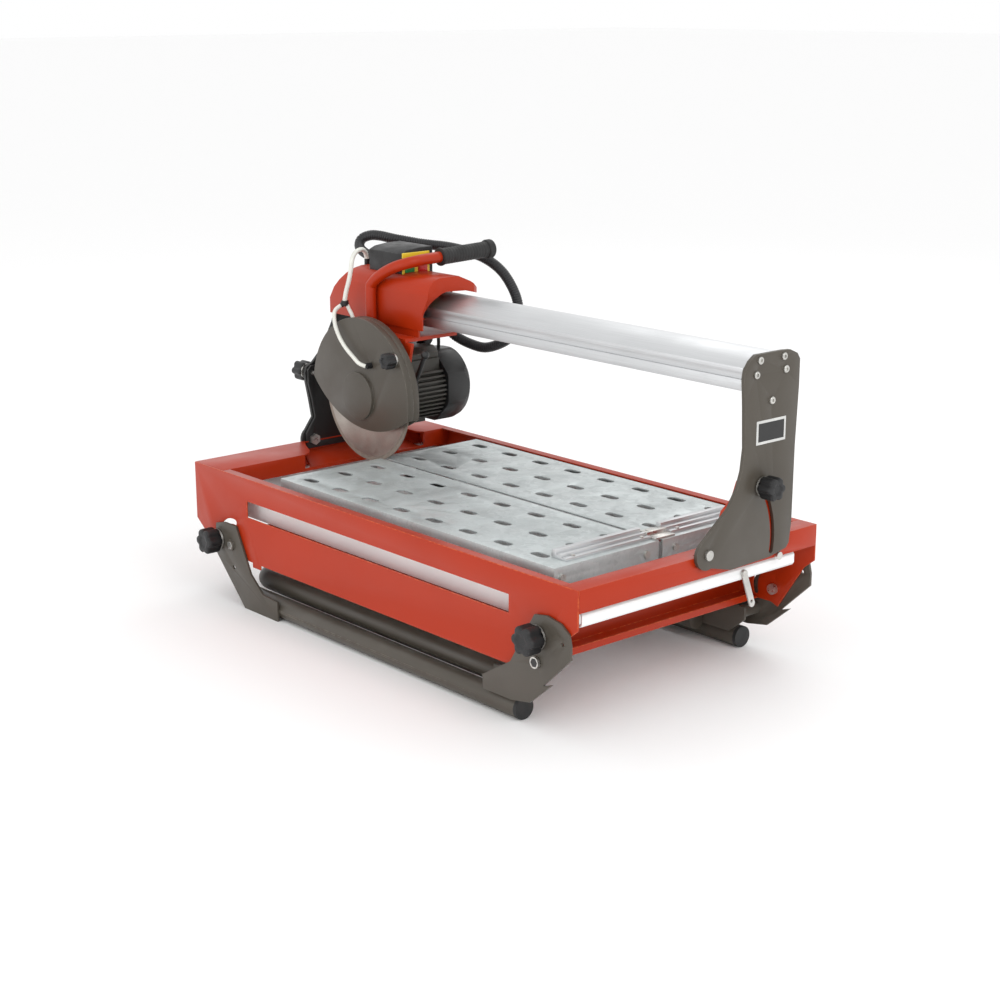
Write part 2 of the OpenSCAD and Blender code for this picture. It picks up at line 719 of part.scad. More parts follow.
module blade_clamp() color(STEEL) lift() difference() {
    union() {
        rod_y([blade_t / 2, 8], arbor, 30);
        rod_y([-7, -blade_t / 2], arbor, 30);
        rod_y([-blade_t / 2, blade_t / 2], arbor, 12.65);
        translate([arbor[0], -14, arbor[1]]) rotate([-90, 0, 0]) cylinder(r = 15, h = 7, $fn = 6);
    }
    rod_y([-15, 9], arbor, 8);
}

// Face of the guard: a disc cut off below by a wide arc
module guard_2d(inset) translate(arbor) intersection() {
    circle(r = guard_r - inset);
    translate([21, 140]) circle(r = 197 - inset);
}
module guard_mouth() polygon([[-470, 160], [-428, 160], [-380, 104], [-230, 86], [-160, 92],
    [-160, 20], [-470, 20]]);

module blade_guard_front() color(DARK) lift() difference() {
    union() {
        along_y([guard_front, guard_split]) guard_2d(0);
        rod_y([guard_front - 6, guard_front], arbor, 41);
    }
    difference() {
        along_y([guard_front + 2.2, guard_split + 1]) guard_2d(2.2);
    }
    along_y([guard_front + 2.2, guard_split + 1]) intersection() {
        translate(arbor) circle(r = guard_r - 2.2);
        guard_mouth();
    }
    rod_y([guard_front - 3.8, 0], arbor, 38.5);
    rod_y([guard_front - 1, guard_front + 4], [-215, 183], 4 + fit);
    rod_y([guard_front - 1, guard_front + 4], [-277, 163], 3);
}

module blade_guard_back() color(DARK) lift() difference() {
    along_y([guard_split, guard_back]) guard_2d(0);
    along_y([guard_split - 1, guard_back - 2.2]) guard_2d(2.2);
    along_y([guard_split - 1, guard_back - 2.2]) intersection() {
        translate(arbor) circle(r = guard_r - 2.2);
        guard_mouth();
    }
    rod_y([0, guard_back + 1], arbor, 31);
    rod_y([0, guard_back + 1], [-362, 219], 2.5);
}

module guard_knob() color(BLACK) lift()
    translate([-215, guard_front - 3, 183]) rotate([90, 0, 0]) knob(28, 19, 10, 4);

// ---------- switch, handle and fittings ----------

module switch_box() color(BLACK) lift() difference() {
    along_x(box_x) polygon([[box_y[0], box_z], [box_y[0], 345], [box_y[0] + 12, 350], [98, 353],
        [box_y[1], 353], [box_y[1], box_z]]);
    along_x([box_x[0] + 3, box_x[1] - 3]) polygon([[box_y[0] + 3, box_z - 1], [box_y[0] + 3, 343],
        [97, 350], [box_y[1] - 3, 350], [box_y[1] - 3, box_z - 1]]);
    for (y = [76, 104]) block([box_x[1] - 4, box_x[1] + 1], [y - 8, y + 8], [314, 332]);
}

module switch_bezel() color([0.90, 0.72, 0.10]) lift() difference() {
    block([box_x[1], box_x[1] + 3], [box_y[0] + 1, 119], [302, 346]);
    for (y = [76, 104]) block([box_x[1] - 1, box_x[1] + 4], [y - 10, y + 10], [312, 334]);
}

module button(y) lift() {
    block([box_x[1] - 8, box_x[1] + 5], [y - 7.5, y + 7.5], [314.5, 331.5]);
    block([box_x[1] - 12, box_x[1] - 8], [y - 9.5, y + 9.5], [312.5, 333.5]);
}
module start_button() color([0.15, 0.45, 0.22]) button(76);
module stop_button() color([0.70, 0.08, 0.08]) button(104);

module handle_tube() color(ORANGE) lift() {
    cord(smooth(concat(handle_path, [grip_path[1]]), 3), handle_d, 20);
}

module handle_grip() color(BLACK) lift() difference() {
    union() {
        pipe([[-260, 122, 337.19], grip_path[1]], grip_d / 2);
        pipe([[-260, 223, 341], [-260, 237, 341.54]], grip_d / 2 + 2.5);
        pipe([[-260, 121, 337.15], [-260, 126, 337.34]], grip_d / 2 + 1.5);
    }
    pipe([[-260, 100, 336.36], grip_path[1]], handle_d / 2);
}

module head_screws() color(STEEL) lift() {
    for (p = [[-250, 190], [-374, 190], [-365, 70], [-259, 70]])
        rod_y([flange_y + 6, flange_y + 10], p, 5);
}

module motor_conduit() color(BLACK) lift() {
    cord(smooth(conduit_path, 2), conduit_d, 12);
    cord(smooth(lead_path, 2), 6, 8);
}

module water_hoses() color([0.88, 0.88, 0.84]) lift() {
    cord(smooth(hose_path, 2), hose_d, 10);
    cord(smooth(hose_left_path, 2), hose_d - 1, 8);
    cord(smooth(hose_right_path, 2), hose_d - 1, 8);
}

// Conduit glands, grommet, hose splitter, barbs and nipples
module cord_fittings() color([0.15, 0.15, 0.15]) lift() {
    pipe([[-322, 142, 188], [-316, 125, 176]], 11);
    rod_x([box_x[0] - 5, box_x[0] + 1], [104, 324], 12.5);
    rod_x([box_x[0] - 12, box_x[0] - 4], [104, 324], 11);
    rod_z([203, 207], [-300, 120], 5);
    rod_z([252, 260], [-382, 10], 6.5);
    pipe([[-382, 10, 256], [-385, 4, 252]], 4.5);
    pipe([[-382, 10, 256], [-379, 13, 252]], 4.5);
    rod_z([298, 321], [-420, 88], 4.6);
    rod_z([300, 309], [-420, 88], 9);
    rod_y([-26, guard_front], [-278, 165], 5);
    rod_y([guard_back - 1, 18.5], [-356, 190], 5);
}

module depth_lever() color(BLACK) lift() {
    rod_y([flange_y - 2, flange_y + 20], [-228, 128], 4);
    rod_y([flange_y + 7, flange_y + 20], [-228, 128], 9);
    pipe([[-228, 36, 128], [-198, 36, 184]], 4);
    translate([-196, 36, 188]) sphere(r = 7);
}

// ---------- legs ----------

module leg_left() color(DARK) lift() {
    both_sides() {
        difference() {
            along_y([-plate_a - bracket_t, -plate_a]) polygon([[-408, -93], [-384, -87],
                [-349, -87], [-309, -162], [-275, -189], [-233, -192], [-233, -frame_h],
                [-329, -frame_h], [-414, -141]]);
            rod_y([-300, 0], stud_a, stud_d / 2 + fit);
            rod_y([-300, 0], [-358, -160], 4);
        }
        rod_x_tube([-330, foot_a - 6], tube_a);
        rod_y([-plate_a - bracket_t - 4, -plate_a - bracket_t], pivot_a, 10);
        rod_y([-plate_a, -half_w - gap], pivot_a, 14);
    }
    rod_y([-plate_a - bracket_t, plate_a + bracket_t], pivot_a, 8);
}

// A straight tube along X at height c[0], set out by c[1] on the near side
module rod_x_tube(x, c) difference() {
    rod_x(x, [-c[1], c[0]], tube_r);
    rod_x([x[0] + 20, x[1] + 1], [-c[1], c[0]], tube_r - 2.5);
}

module leg_left_caps() color(BLACK) lift() both_sides() {
    rod_x([foot_a - 6, foot_a], [-tube_a[1], tube_a[0]], tube_r);
    rod_x([foot_a - 26, foot_a - 6], [-tube_a[1], tube_a[0]], tube_r - 2.5);
}

module leg_right() color(DARK) lift() {
    both_sides() {
        difference() {
            along_y([-plate_b - bracket_t, -plate_b]) polygon([[393, -52], [418, -48], [446, -53],
                [462, -64], [466, -80], [466, -100], [411, -152], [429, -146], [384, -184],
                [344, -191], [285, -191], [283, -170], [343, -134]]);
            rod_y([-300, 0], stud_b, stud_d / 2 + fit);
            rod_y([-300, 0], pivot_b, 5 + fit);
            rod_y([-300, 0], [450, -81], 3);
        }
        rod_y([-plate_b, -211.5], [360, -160], 10);
        along_y([-211.5, -207.5]) polygon([[372, -150], [372, -170], [340, -196], [262, -196],
            [262, -170], [300, -166], [346, -149]]);
        rod_x([foot_b + bend_b, 285], [-tube_b[1], tube_b[0]], tube_r);
        translate([foot_b + bend_b, bend_b - tube_b[1], tube_b[0]]) rotate(180)
            rotate_extrude(angle = 90) translate([bend_b, 0]) circle(r = tube_r);
    }
    rod_y([bend_b - tube_b[1], tube_b[1] - bend_b], [foot_b, tube_b[0]], tube_r);
}

module leg_knob(p, face) color(BLACK) lift()
    translate([p[0], -face - bracket_t - 4, p[1]]) rotate([90, 0, 0]) {
        knob(knob_d, 27, 19, stud_d / 2);
        translate([0, 0, -19]) cylinder(r = 6.4, h = 5, $fn = 6);
    }
module leg_knob_left_near() leg_knob(stud_a, plate_a);
module leg_knob_left_far() mirror([0, 1, 0]) leg_knob(stud_a, plate_a);
module leg_knob_right_near() leg_knob(stud_b, plate_b);
module leg_knob_right_far() mirror([0, 1, 0]) leg_knob(stud_b, plate_b);

side_panel_near();
side_panel_far();
end_beam_left();
end_beam_right();
lower_cross_rails();
bevel_bracket_left();
bevel_bracket_right();
inner_supports();
table_near();
table_far();
fence_strips();
fence_pointer();
frame_fasteners();
water_tray();
drain_plug();
water_pump();
tray_pull();
post_left();
post_right();
guide_rail();
post_screws();
bevel_knob_left();
bevel_knob_right();
carriage_frame();
carriage_cover();
roller_axles();
roller_near_rear();
roller_near_front();
roller_far_rear();
roller_far_front();
motor_housing();
fan_cowl();
terminal_box();
motor_stator();
motor_bearings();
blade_guard_front();
blade_guard_back();
guard_knob();
saw_blade();
blade_clamp();
arbor_shaft();
motor_rotor();
switch_box();
switch_bezel();
start_button();
stop_button();
handle_tube();
handle_grip();
head_screws();
motor_conduit();
water_hoses();
cord_fittings();
depth_lever();
leg_left();
leg_left_caps();
leg_right();
leg_knob_left_near();
leg_knob_left_far();
leg_knob_right_near();
leg_knob_right_far();
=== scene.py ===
"""Looks for a folding wet tile saw: finishes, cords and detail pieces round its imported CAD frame."""
import json
import math

import bmesh
import bpy
from bpy.props import FloatProperty, FloatVectorProperty, IntProperty, PointerProperty
from mathutils import Matrix, Vector

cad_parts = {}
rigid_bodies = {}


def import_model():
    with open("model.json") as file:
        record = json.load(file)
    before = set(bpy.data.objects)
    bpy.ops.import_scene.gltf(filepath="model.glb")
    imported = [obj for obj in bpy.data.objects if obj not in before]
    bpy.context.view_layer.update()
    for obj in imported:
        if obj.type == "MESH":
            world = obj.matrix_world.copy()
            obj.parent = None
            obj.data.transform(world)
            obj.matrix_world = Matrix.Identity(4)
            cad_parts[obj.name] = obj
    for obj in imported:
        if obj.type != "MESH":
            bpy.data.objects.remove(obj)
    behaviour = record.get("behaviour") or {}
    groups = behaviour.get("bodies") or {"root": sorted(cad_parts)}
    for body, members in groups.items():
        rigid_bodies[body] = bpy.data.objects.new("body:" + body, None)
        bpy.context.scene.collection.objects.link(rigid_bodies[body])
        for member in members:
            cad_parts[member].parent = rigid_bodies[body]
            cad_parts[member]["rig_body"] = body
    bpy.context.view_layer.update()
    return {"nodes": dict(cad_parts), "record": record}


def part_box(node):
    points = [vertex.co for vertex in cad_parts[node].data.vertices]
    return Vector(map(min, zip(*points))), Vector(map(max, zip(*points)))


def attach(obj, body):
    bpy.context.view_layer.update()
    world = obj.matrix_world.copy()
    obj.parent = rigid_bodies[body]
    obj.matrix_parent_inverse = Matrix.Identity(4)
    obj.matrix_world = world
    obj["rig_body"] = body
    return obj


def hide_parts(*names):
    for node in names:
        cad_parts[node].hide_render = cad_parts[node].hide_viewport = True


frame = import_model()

bl_info = {
    "name": "Wet tile saw",
    "version": (1, 0, 0),
    "blender": (4, 5, 0),
    "location": "3D View > Sidebar > Tile saw",
    "description": "Builds the finishes, cords and detail pieces of a folding wet tile saw",
    "category": "Object",
}

NODES = frame["nodes"]
FRAME_TOP = 0.225

# Faces that screws and plates sit on, in mm from the middle of the saw
POST_FACE = 481.3
PIVOT_FACE = 481.6
PLATE_FACE = 482.0
# Radii of the handle, in metres
TUBE_R = 0.0095
GRIP_R = 0.0140
GRIP_FLANGE_R = 0.0155
GRIP_CAP_R = 0.0165
# Half the floor's width and its thickness, in metres
FLOOR_HALF = 40
FLOOR_THICK = 0.01
# Where the camera stands, and its turn, tip and roll in degrees
CAMERA_AT = (2.177311, -1.867961, 0.991637)
CAMERA_TURN, CAMERA_TIP, CAMERA_ROLL = 48.921, 15.249, 0.095
DUST_COLOUR = (0.72, 0.69, 0.64, 1.0)


def place(x, y, z):
    """A point given in millimetres, with its height counted from the top of the frame."""
    return Vector((x / 1000, y / 1000, z / 1000 + FRAME_TOP))


def colour_prop(name, text, value):
    return FloatVectorProperty(name=name, description=text, default=value, size=3, min=0, max=1,
                               subtype="COLOR")


def length_prop(name, text, value):
    return FloatProperty(name=name, description=text, default=value, min=0, unit="LENGTH", precision=4)


class SawStage(bpy.types.PropertyGroup):
    """Floor, lights and camera."""

    floor: colour_prop("Floor", "Colour of the floor", (0.97, 0.97, 0.97))
    key: FloatProperty(name="Key light", description="Power of the large light", default=26.0, min=0,
                       unit="POWER")
    fill: FloatProperty(name="Fill light", description="Power of the lights in front and behind",
                        default=12.0, min=0, unit="POWER")
    sky: FloatProperty(name="Surroundings", description="Brightness of the surroundings", default=1.0, min=0)
    lens: FloatProperty(name="Lens", description="Focal length of the camera, in mm", default=66.743,
                        min=10)


class SawColours(bpy.types.PropertyGroup):
    """Colours of the saw's finishes."""

    orange: colour_prop("Orange", "Powder coat of the frame and carriage", (0.43, 0.027, 0.002))
    graphite: colour_prop("Graphite", "Paint of the guard, legs and right post", (0.074, 0.063, 0.049))
    black: colour_prop("Black", "Paint of the left post and the fan cowl", (0.016, 0.016, 0.016))
    casting: colour_prop("Motor", "Paint of the motor housing", (0.046, 0.043, 0.035))
    zinc: colour_prop("Zinc", "Galvanised sheet of the table", (0.56, 0.60, 0.60))
    rail: colour_prop("Rail", "Anodised aluminium of the rail", (0.66, 0.67, 0.68))
    steel: colour_prop("Steel", "Plated fasteners and fittings", (0.58, 0.57, 0.54))
    tray: colour_prop("Tray", "Plastic of the water tray", (0.93, 0.94, 0.94))
    hose: colour_prop("Hose", "Plastic of the water hoses", (0.80, 0.80, 0.74))
    moulded: colour_prop("Moulded parts", "Black plastic of knobs and switch box", (0.010, 0.010, 0.011))
    yellow: colour_prop("Bezel", "Yellow plastic of the switch bezel", (0.85, 0.62, 0.03))


class SawSizes(bpy.types.PropertyGroup):
    """Sizes of the detail pieces."""

    fold: length_prop("Fold radius", "Rounding of folded sheet edges", 0.0009)
    conduit_pitch: length_prop("Conduit pitch", "Distance between the conduit's ribs", 0.0042)
    conduit_depth: length_prop("Conduit depth", "Depth of the conduit's ribs", 0.0011)
    hose_pitch: length_prop("Hose pitch", "Distance between the hose's ribs", 0.0026)
    grip_pitch: length_prop("Grip pitch", "Distance between the grip's ribs", 0.0062)
    screw: length_prop("Screw head", "Radius of the common screw heads", 0.0055)
    lobes: IntProperty(name="Lobes", description="Number of lobes of a knob", default=6, min=3, max=12)
    segments: IntProperty(name="Segments", description="Number of segments of the blade's rim", default=22,
                          min=8)


# ---------- small helpers for node trees ----------


class Graph:
    """Writes a node tree, shader or geometry, with short calls."""

    def __init__(self, tree):
        self.tree = tree

    def plug(self, socket, value):
        if isinstance(value, bpy.types.NodeSocket):
            self.tree.links.new(value, socket)
        elif value is not None:
            socket.default_value = value

    def add(self, kind, inputs=None, **settings):
        node = self.tree.nodes.new(kind)
        for key, value in settings.items():
            setattr(node, key, value)
        for key, value in (inputs or {}).items():
            self.plug(node.inputs[key], value)
        return node

    def math(self, op, a, b=None, c=None):
        node = self.add("ShaderNodeMath", operation=op)
        for socket, value in zip(node.inputs, (a, b, c)):
            self.plug(socket, value)
        return node.outputs[0]

    def remap(self, value, a, b, low, high):
        return self.add("ShaderNodeMapRange", {0: value, 1: a, 2: b, 3: low, 4: high}).outputs[0]

    def blend(self, share, a, b):
        return self.add("ShaderNodeMix", {0: share, 6: a, 7: b}, data_type="RGBA").outputs[2]


def rgba(colour, gain=1.0):
    return tuple(min(1.0, c * gain) for c in colour) + (1.0,)


def open_group(name, kind, inputs, outputs):
    """A new node group, its graph, its input sockets by name and its output node."""
    tree = bpy.data.node_groups.new(name, kind)
    for label, form, value in inputs:
        socket = tree.interface.new_socket(label, in_out="INPUT", socket_type="NodeSocket" + form)
        if value is not None:
            socket.default_value = value
    for label, form in outputs:
        tree.interface.new_socket(label, in_out="OUTPUT", socket_type="NodeSocket" + form)
    graph = Graph(tree)
    given = graph.add("NodeGroupInput").outputs
    return graph, given, graph.add("NodeGroupOutput").inputs


# ---------- shader groups that several finishes share ----------


def mottle_group():
    """Slow cloudy change over a surface, between two values."""
    g, given, out = open_group("Mottle", "ShaderNodeTree",
        [("Vector", "Vector", None), ("Scale", "Float", 30.0), ("Low", "Float", 0.0), ("High", "Float", 1.0)],
        [("Value", "Float")])
    noise = g.add("ShaderNodeTexNoise", {"Vector": given["Vector"], "Scale": given["Scale"], "Detail": 4.0})
    g.plug(out["Value"], g.remap(noise.outputs[0], 0.32, 0.68, given["Low"], given["High"]))
    return g.tree


def grain_group():
    """Fine bumps of powder coat, casting or moulded plastic."""
    g, given, out = open_group("Grain", "ShaderNodeTree",
        [("Vector", "Vector", None), ("Scale", "Float", 700.0), ("Lumps", "Float", 0.3)],
        [("Height", "Float")])
    fine = g.add("ShaderNodeTexNoise", {"Vector": given["Vector"], "Scale": given["Scale"], "Detail": 2.0})
    slow = g.add("ShaderNodeTexNoise",
                 {"Vector": given["Vector"], "Scale": g.math("MULTIPLY", given["Scale"], 0.13),
                  "Detail": 1.0})
    g.plug(out["Height"], g.math("MULTIPLY_ADD", slow.outputs[0], given["Lumps"], fine.outputs[0]))
    return g.tree


def worn_and_highlight_edge_group():
    """Mask of the places on folds and rims that get a paler colour: paint worn thin, and a painted highlight
    along the edge.
    """
    g, given, out = open_group("Worn and highlighted edge", "ShaderNodeTree",
        [("Vector", "Vector", None), ("Amount", "Float", 0.3), ("Scale", "Float", 160.0)],
        [("Mask", "Float")])
    rim = g.add("ShaderNodeAttribute", attribute_name="rim").outputs["Fac"]
    noise = g.add("ShaderNodeTexNoise", {"Vector": given["Vector"], "Scale": given["Scale"], "Detail": 5.0})
    patch = g.remap(noise.outputs[0], 0.45, 0.62, 0.15, 1.0)
    g.plug(out["Mask"], g.math("MULTIPLY", g.math("MULTIPLY", rim, patch), given["Amount"]))
    return g.tree


def brushed_group():
    """Streaks left by drawing, rolling or brushing metal."""
    g, given, out = open_group("Brushed", "ShaderNodeTree",
        [("Vector", "Vector", None), ("Stretch", "Vector", (1.0, 60.0, 60.0)), ("Scale", "Float", 12.0)],
        [("Value", "Float")])
    turned = g.add("ShaderNodeVectorMath", {0: given["Vector"], 1: given["Stretch"]}, operation="MULTIPLY")
    noise = g.add("ShaderNodeTexNoise", {"Vector": turned.outputs[0], "Scale": given["Scale"], "Detail": 3.0})
    g.plug(out["Value"], g.remap(noise.outputs[0], 0.3, 0.7, 0.0, 1.0))
    return g.tree


def spangle_group():
    """Crystal flakes of hot-dip zinc, broken up by smears."""
    g, given, out = open_group("Zinc spangle", "ShaderNodeTree",
        [("Vector", "Vector", None), ("Scale", "Float", 95.0)], [("Tone", "Float"), ("Smear", "Float")])
    bent = g.add("ShaderNodeTexNoise", {"Vector": given["Vector"], "Scale": 60.0, "Detail": 3.0})
    near = g.add("ShaderNodeMix", {0: 0.035, 4: given["Vector"], 5: bent.outputs["Color"]},
                 data_type="VECTOR")
    flakes = g.add("ShaderNodeTexVoronoi", {"Vector": near.outputs[1], "Scale": given["Scale"]})
    tone = g.add("ShaderNodeSeparateColor", {0: flakes.outputs["Color"]}).outputs[0]
    smear = g.add("ShaderNodeTexNoise", {"Vector": given["Vector"], "Scale": 9.0, "Detail": 6.0,
                                             "Roughness": 0.7})
    g.plug(out["Tone"], tone)
    g.plug(out["Smear"], g.remap(smear.outputs[0], 0.35, 0.65, 0.0, 1.0))
    return g.tree


def dust_group():
    """Mask of the pale dust that settles on faces that look up."""
    g, given, out = open_group("Settled dust", "ShaderNodeTree",
        [("Vector", "Vector", None), ("Amount", "Float", 0.2)], [("Mask", "Float")])
    facing = g.add("ShaderNodeNewGeometry").outputs["Normal"]
    up = g.add("ShaderNodeSeparateXYZ", {0: facing}).outputs[2]
    noise = g.add("ShaderNodeTexNoise", {"Vector": given["Vector"], "Scale": 22.0, "Detail": 5.0})
    lying = g.math("MULTIPLY", g.remap(up, 0.5, 1.0, 0.0, 1.0), g.remap(noise.outputs[0], 0.4, 0.7, 0.0, 1.0))
    g.plug(out["Mask"], g.math("MULTIPLY", lying, given["Amount"]))
    return g.tree


def shared(name, build):
    return bpy.data.node_groups.get(name) or build()


def finish(name, colour, rough=(0.35, 0.5), metallic=0.0, grain=(700.0, 0.05), tint=(0.86, 22.0), edge_wear_and_highlight=0.0,
           dust=0.0, brush=None, spangle=0.0, wear_and_highlight_colour=(0.75, 0.72, 0.68), shine=0.5):
    """A material: base colour with slow tint, wear and a painted highlight on edges, dust, and grain in its
    roughness and bump.
    """
    found = bpy.data.materials.get(name)
    if found:
        return found
    made = bpy.data.materials.new(name)
    made.use_nodes = True
    made.diffuse_color = rgba(colour)
    g = Graph(made.node_tree)
    shader = made.node_tree.nodes["Principled BSDF"]
    where = g.add("ShaderNodeTexCoord").outputs["Object"]

    def use(group, build, **inputs):
        node = g.add("ShaderNodeGroup", node_tree=shared(group, build))
        g.plug(node.inputs["Vector"], where)
        for key, value in inputs.items():
            g.plug(node.inputs[key], value)
        return node.outputs

    shade = use("Mottle", mottle_group, Scale=tint[1])["Value"]
    base = g.blend(shade, rgba(colour, tint[0]), rgba(colour, 2.0 - tint[0]))
    roughness = use("Mottle", mottle_group, Scale=tint[1] * 2.3, Low=rough[0], High=rough[1])["Value"]
    height = use("Grain", grain_group, Scale=grain[0])["Height"]
    if brush:
        streak = use("Brushed", brushed_group, Stretch=brush)["Value"]
        base = g.blend(g.math("MULTIPLY", streak, 0.22), base, rgba(colour, 0.66))
        roughness = g.math("MULTIPLY_ADD", streak, 0.10, roughness)
    if spangle:
        flakes = use("Zinc spangle", spangle_group)
        base = g.blend(g.math("MULTIPLY", flakes["Tone"], spangle), base, rgba(colour, 0.55))
        base = g.blend(g.math("MULTIPLY", flakes["Smear"], 0.35), base, rgba(colour, 1.25))
        roughness = g.math("MULTIPLY_ADD", flakes["Tone"], 0.18, roughness)
    # Fold and rim faces get a paler colour: worn paint, and a painted highlight along the edges.
    if edge_wear_and_highlight:
        mask = use("Worn and highlighted edge", worn_and_highlight_edge_group, Amount=edge_wear_and_highlight)["Mask"]
        base = g.blend(mask, base, rgba(wear_and_highlight_colour))
    if dust:
        mask = use("Settled dust", dust_group, Amount=dust)["Mask"]
        base = g.blend(mask, base, DUST_COLOUR)
        roughness = g.math("MULTIPLY_ADD", mask, 0.3, roughness)
    g.plug(shader.inputs["Base Color"], base)
    g.plug(shader.inputs["Roughness"], roughness)
    shader.inputs["Metallic"].default_value = metallic
    shader.inputs["Specular IOR Level"].default_value = shine
    bump = g.add("ShaderNodeBump", {"Strength": grain[1], "Distance": 0.0006, "Height": height})
    g.plug(shader.inputs["Normal"], bump.outputs[0])
    return made


def finishes():
    """Every finish of the saw, by the part it is named for."""
    c = bpy.context.scene.saw_colours
    return {
        # The edge colours below are paler tones: wear, and a painted highlight on folds and rims.
        "powder coat": finish("Orange powder coat", c.orange, (0.30, 0.42), grain=(900.0, 0.05), edge_wear_and_highlight=0.5,
                              dust=0.02, tint=(0.97, 7.0), wear_and_highlight_colour=(0.78, 0.20, 0.06), shine=0.32),
        "graphite": finish("Graphite paint", c.graphite, (0.34, 0.50), grain=(800.0, 0.06), edge_wear_and_highlight=0.6,
                           dust=0.05, tint=(0.95, 8.0), wear_and_highlight_colour=(0.24, 0.22, 0.18)),
        "black": finish("Black enamel", c.black, (0.32, 0.46), grain=(800.0, 0.06), edge_wear_and_highlight=0.5, dust=0.03,
                        wear_and_highlight_colour=(0.12, 0.12, 0.12)),
        "casting": finish("Cast motor paint", c.casting, (0.42, 0.60), grain=(420.0, 0.25), edge_wear_and_highlight=0.5,
                          dust=0.06, wear_and_highlight_colour=(0.16, 0.15, 0.12)),
        "zinc": finish("Galvanised sheet", c.zinc, (0.30, 0.46), metallic=0.55, grain=(500.0, 0.05),
                       spangle=0.30, tint=(0.95, 6.0)),
        "rail": finish("Anodised rail", c.rail, (0.34, 0.46), metallic=0.95, grain=(900.0, 0.03),
                       brush=(1.0, 90.0, 90.0), tint=(0.97, 6.0)),
        "drawn": finish("Drawn aluminium", c.rail, (0.28, 0.40), metallic=0.8, grain=(900.0, 0.03),
                        brush=(90.0, 1.0, 90.0), tint=(0.96, 8.0)),
        "plated": finish("Zinc plated steel", c.steel, (0.24, 0.40), metallic=0.9, grain=(900.0, 0.06),
                         tint=(0.88, 60.0)),
        "blade": finish("Blade steel", (0.42, 0.38, 0.34), (0.28, 0.44), metallic=0.85, grain=(700.0, 0.08),
                        brush=(30.0, 1.0, 30.0), tint=(0.88, 20.0)),
        "diamond": finish("Diamond rim", (0.30, 0.25, 0.21), (0.45, 0.65), metallic=0.5,
                          grain=(1800.0, 0.4), tint=(0.90, 90.0)),
        "tray": finish("Tray plastic", c.tray, (0.28, 0.42), grain=(600.0, 0.08), tint=(0.96, 6.0),
                       dust=0.12),
        "hose": finish("Hose plastic", c.hose, (0.30, 0.44), grain=(900.0, 0.05), tint=(0.95, 40.0)),
        "moulded": finish("Moulded black plastic", c.moulded, (0.38, 0.55), grain=(1100.0, 0.22), edge_wear_and_highlight=0.5,
                          dust=0.02, wear_and_highlight_colour=(0.07, 0.07, 0.07)),
        "rubber": finish("Grip rubber", (0.020, 0.020, 0.020), (0.55, 0.75), grain=(1300.0, 0.30), dust=0.02),
        "conduit": finish("Conduit plastic", (0.022, 0.022, 0.024), (0.34, 0.48), grain=(900.0, 0.10),
                          dust=0.03),
        "yellow": finish("Bezel plastic", c.yellow, (0.28, 0.40), grain=(800.0, 0.06), edge_wear_and_highlight=0.2,
                         wear_and_highlight_colour=(0.92, 0.74, 0.20)),
        "green": finish("Green button", (0.02, 0.30, 0.08), (0.25, 0.36), grain=(800.0, 0.04)),
        "red": finish("Red button", (0.60, 0.02, 0.02), (0.25, 0.36), grain=(800.0, 0.04)),
        "plate": finish("Rating plate", (0.74, 0.74, 0.72), (0.30, 0.42), metallic=0.5, grain=(700.0, 0.04),
                        brush=(90.0, 1.0, 90.0)),
        "iron": finish("Laminated iron", (0.22, 0.15, 0.09), (0.45, 0.65), metallic=0.4, grain=(900.0, 0.3)),
    }


FINISH_OF_SLOT = {
    "orange_paint": "powder coat", "dark_paint": "graphite", "black_paint": "black", "galvanised": "zinc",
    "steel": "plated", "bright": "plated", "rail_aluminium": "rail", "motor_casting": "casting",
    "stator_iron": "iron", "black_plastic": "moulded", "grey_plastic": "moulded", "yellow_plastic": "yellow",
    "green_plastic": "green", "red_plastic": "red", "tray_plastic": "tray", "hose_plastic": "hose",
    "grip_rubber": "rubber", "blade_steel": "blade",
}
SLOT_OF_NODE = {s["node"]: s["material_slot"] for s in frame["record"]["subparts"]}


# ---------- making pieces ----------


def new_piece(name, mesh, body, material=None, stands_for=(), slot=None, soft_angle=35):
    """Puts a finished mesh in the scene, riding on a body."""
    obj = bpy.data.objects.new(name, mesh)
    bpy.context.scene.collection.objects.link(obj)
    if material:
        mesh.materials.clear()
        mesh.materials.append(material)
    if soft_angle:
        mesh.shade_smooth()
        mesh.set_sharp_from_angle(angle=math.radians(soft_angle))
    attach(obj, body)
    if stands_for:
        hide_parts(*stands_for)
        slot = slot or SLOT_OF_NODE[stands_for[0]]
    return obj


def baked(obj):
    """The evaluated mesh of an object, and the object is removed."""
    graph = bpy.context.evaluated_depsgraph_get()
    mesh = bpy.data.meshes.new_from_object(obj.evaluated_get(graph), preserve_all_data_layers=True,
                                           depsgraph=graph)
    bpy.data.objects.remove(obj)
    return mesh


def grown(tree, start=None, matrix=None, **values):
    """Runs a geometry tree on a starting mesh or curve, and returns the plain mesh that it makes."""
    data = start or bpy.data.meshes.new("start")
    obj = bpy.data.objects.new("grown", data)
    bpy.context.scene.collection.objects.link(obj)
    modifier = obj.modifiers.new("tree", "NODES")
    modifier.node_group = tree
    for item in tree.interface.items_tree:
        if item.in_out == "INPUT" and item.name in values:
            modifier[item.identifier] = values[item.name]
    mesh = baked(obj)
    if matrix is not None:
        mesh.transform(matrix)
    return mesh


